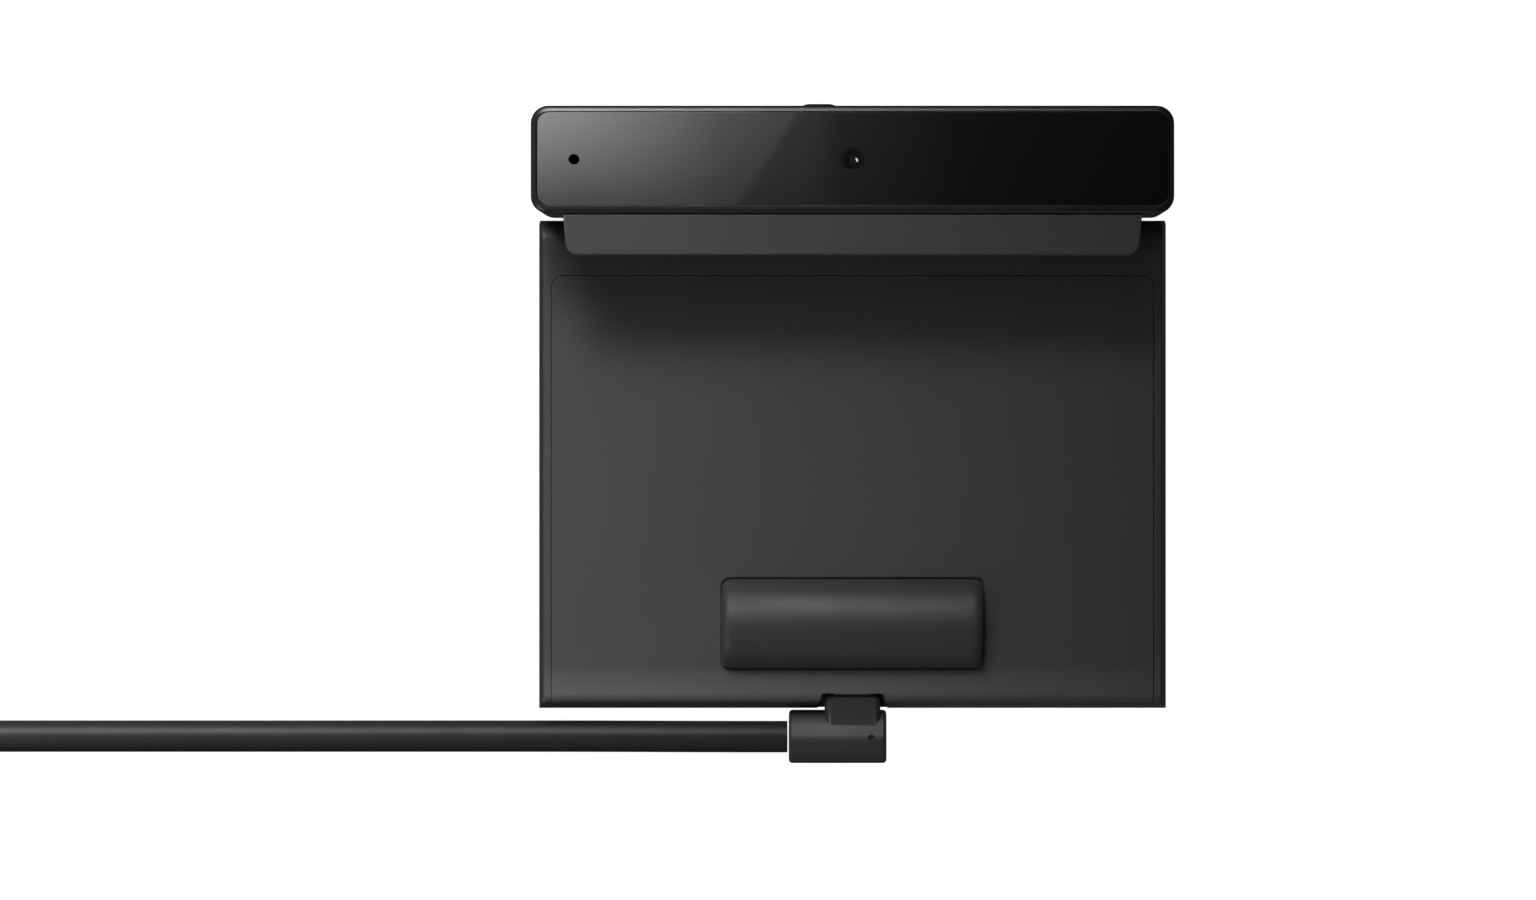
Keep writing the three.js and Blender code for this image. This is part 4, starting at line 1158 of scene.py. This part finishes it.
def build_floor():
    t = Tree("pale_floor")
    t.join(t.mix(t.noise(9, 3), (0.1, 0.1, 0.1), (0.12, 0.12, 0.12)), t.shader.inputs["Base Color"])
    t.join(t.span(t.noise(40), 0.3, 0.7, 0.85, 0.95), t.shader.inputs["Roughness"])
    t.set(Specular_IOR_Level=0.1, Emission_Color=(1, 1, 1, 1), Emission_Strength=1.0)
    mesh = bpy.data.meshes.new("floor")
    s = 8.0
    mesh.from_pydata([(-s, -s, 0), (s, -s, 0), (s, s, 0), (-s, s, 0)], [], [(0, 1, 2, 3)])
    floor = link("floor", mesh)
    dress(floor, t.material)
    floor.visible_glossy = False


def aimed(name, data, location, target):
    light = link(name, data)
    light.location = location
    light.rotation_euler = (Vector(target) - Vector(location)).to_track_quat("-Z", "Y").to_euler()
    light.visible_camera = False
    return light


def softbox(name, location, target, size, power, size_y=None, spread=180):
    data = bpy.data.lights.new(name, "AREA")
    data.shape = "RECTANGLE"
    data.size = size
    data.size_y = size_y or size
    data.energy = power
    data.spread = math.radians(spread)
    return aimed(name, data, location, target)


def soft_spot(name, location, target, radius, angle, power):
    data = bpy.data.lights.new(name, "SPOT")
    data.energy = power
    data.spot_size = math.radians(angle)
    data.spot_blend = 1.0
    data.shadow_soft_size = radius
    return aimed(name, data, location, target)


# What the window mirrors: a card that is bright at its upper left and falls off to the right.
# Its places are given where the window mirrors them, as x and y on the window.
CARD_RISE = 1.3
CARD_SPREAD = 1 + CARD_RISE / 1.1
CARD_REACH = 70
CARD_BORDER_SLOPE = 0.644
CARD_STOPS = [
    (-70, 0.29), (-47, 0.195), (-25, 0.078), (-19, 0.0625), (-8, 0.046), (-2.3, 0.0255), (9, 0.0165),
    (20, 0.0092), (31, 0.0068), (70, 0.003),
]


def build_card():
    t = Tree("card_light")
    t.nodes.remove(t.shader)
    emission = t.nodes.new("ShaderNodeEmission")
    t.join(emission.outputs[0], t.out.inputs["Surface"])
    apart = t.nodes.new("ShaderNodeSeparateXYZ")
    t.join(t.coords, apart.inputs[0])
    u = t.math("DIVIDE", apart.outputs["X"], CARD_SPREAD * MM)
    v = t.math("DIVIDE", apart.outputs["Y"], CARD_SPREAD * MM)
    ramp = t.nodes.new("ShaderNodeValToRGB")
    t.join(t.span(u, -CARD_REACH, CARD_REACH, 0, 1), ramp.inputs[0])
    elements = ramp.color_ramp.elements
    top = CARD_STOPS[0][1]
    elements[0].position = 0
    elements[0].color = (1, 1, 1, 1)
    elements[1].position = 1
    elements[1].color = (CARD_STOPS[-1][1] / top,) * 3 + (1,)
    for x, value in CARD_STOPS[1:-1]:
        stop = elements.new((x + CARD_REACH) / (2 * CARD_REACH))
        stop.color = (value / top,) * 3 + (1,)
    low = t.span(u, -50, 20, 0.317, 0.861)
    rise = t.span(u, -50, 20, 0.843, 0.171)
    falloff = t.math("ADD", low, t.math("MULTIPLY", rise, t.span(v, 38.5, 54.5, 0, 1)))
    above = t.math("SUBTRACT", v, 46.3)
    border = t.math("SUBTRACT", u, t.math("MULTIPLY", above, CARD_BORDER_SLOPE))
    step = t.span(border, -16.1, -15.5, 1, 0.6)
    strength = t.math("MULTIPLY", t.math("MULTIPLY", ramp.outputs["Color"], falloff), step)
    t.join(t.math("MULTIPLY", strength, top / 0.04), emission.inputs["Strength"])
    s = CARD_SPREAD * MM
    card = sheet("card", -72 * s, 72 * s, 22 * s, 66 * s, 0.0289 + CARD_RISE)
    dress(card, t.material)
    card.visible_camera = False


build_floor()
build_card()
# Two narrow boxes beyond the camera bar, for the line of light along the lead.
softbox("strip_left", (-0.18, 0.68, 0.62), (-0.18, 0, 0), 0.3, 0.28, 0.5, 25)
softbox("strip_far_left", (-0.26, 0.62, 0.66), (-0.24, 0, 0), 0.3, 0.82, 0.5, 30)
# Broad boxes low on the other sides, so that no side goes black.
softbox("fill_low_left", (-0.55, -0.6, 0.5), (0, 0, 0), 0.45, 2.4)
softbox("side_front", (0, -1.0, 0.22), (0, 0, 0.01), 0.5, 0.6)
softbox("side_left", (-1.0, 0, 0.28), (0, 0, 0.01), 0.5, 0.5)
softbox("side_right", (1.0, 0, 0.28), (0, 0, 0.01), 0.5, 0.2)
# Soft spots: the key from the upper left, and the fills beside it.
soft_spot("key", (-0.45, 0.6, 0.68), (-0.138, -0.04, 0.005), 0.2, 26, 28.5)
soft_spot("key_middle", (-0.1, 0.65, 0.7), (-0.1, -0.03, 0), 0.2, 22, 6.4)
soft_spot("high_left", (-0.18, 0.38, 0.9), (-0.12, -0.03, 0), 0.2, 20, 4.6)
soft_spot("fill_high_left", (-0.25, -0.2, 0.95), (-0.11, -0.04, 0), 0.2, 20, 2.3)
soft_spot("fill_high", (-0.1, -0.4, 0.85), (-0.08, -0.04, 0), 0.2, 26, 1.8)

# The glint in the lens: this light reaches only the lens, and only the lens blocks it.
catch = softbox("lens_catch", (0.65, 0.12, 0.62), (0, 0.046, 0.025), 0.6, 11, 0.32)
catch.rotation_euler.rotate_axis("Z", math.radians(25))
catch.light_linking.receiver_collection = bpy.data.collections.new("lens_only")
catch.light_linking.receiver_collection.objects.link(lens_dome)
catch.light_linking.blocker_collection = catch.light_linking.receiver_collection

world = bpy.data.worlds.new("world")
world.use_nodes = True
world.node_tree.nodes["Background"].inputs["Color"].default_value = (0.9, 0.95, 1, 1)
world.node_tree.nodes["Background"].inputs["Strength"].default_value = 0.02
bpy.context.scene.world = world
bpy.context.scene.view_settings.view_transform = "Standard"
bpy.context.scene.view_settings.look = "None"
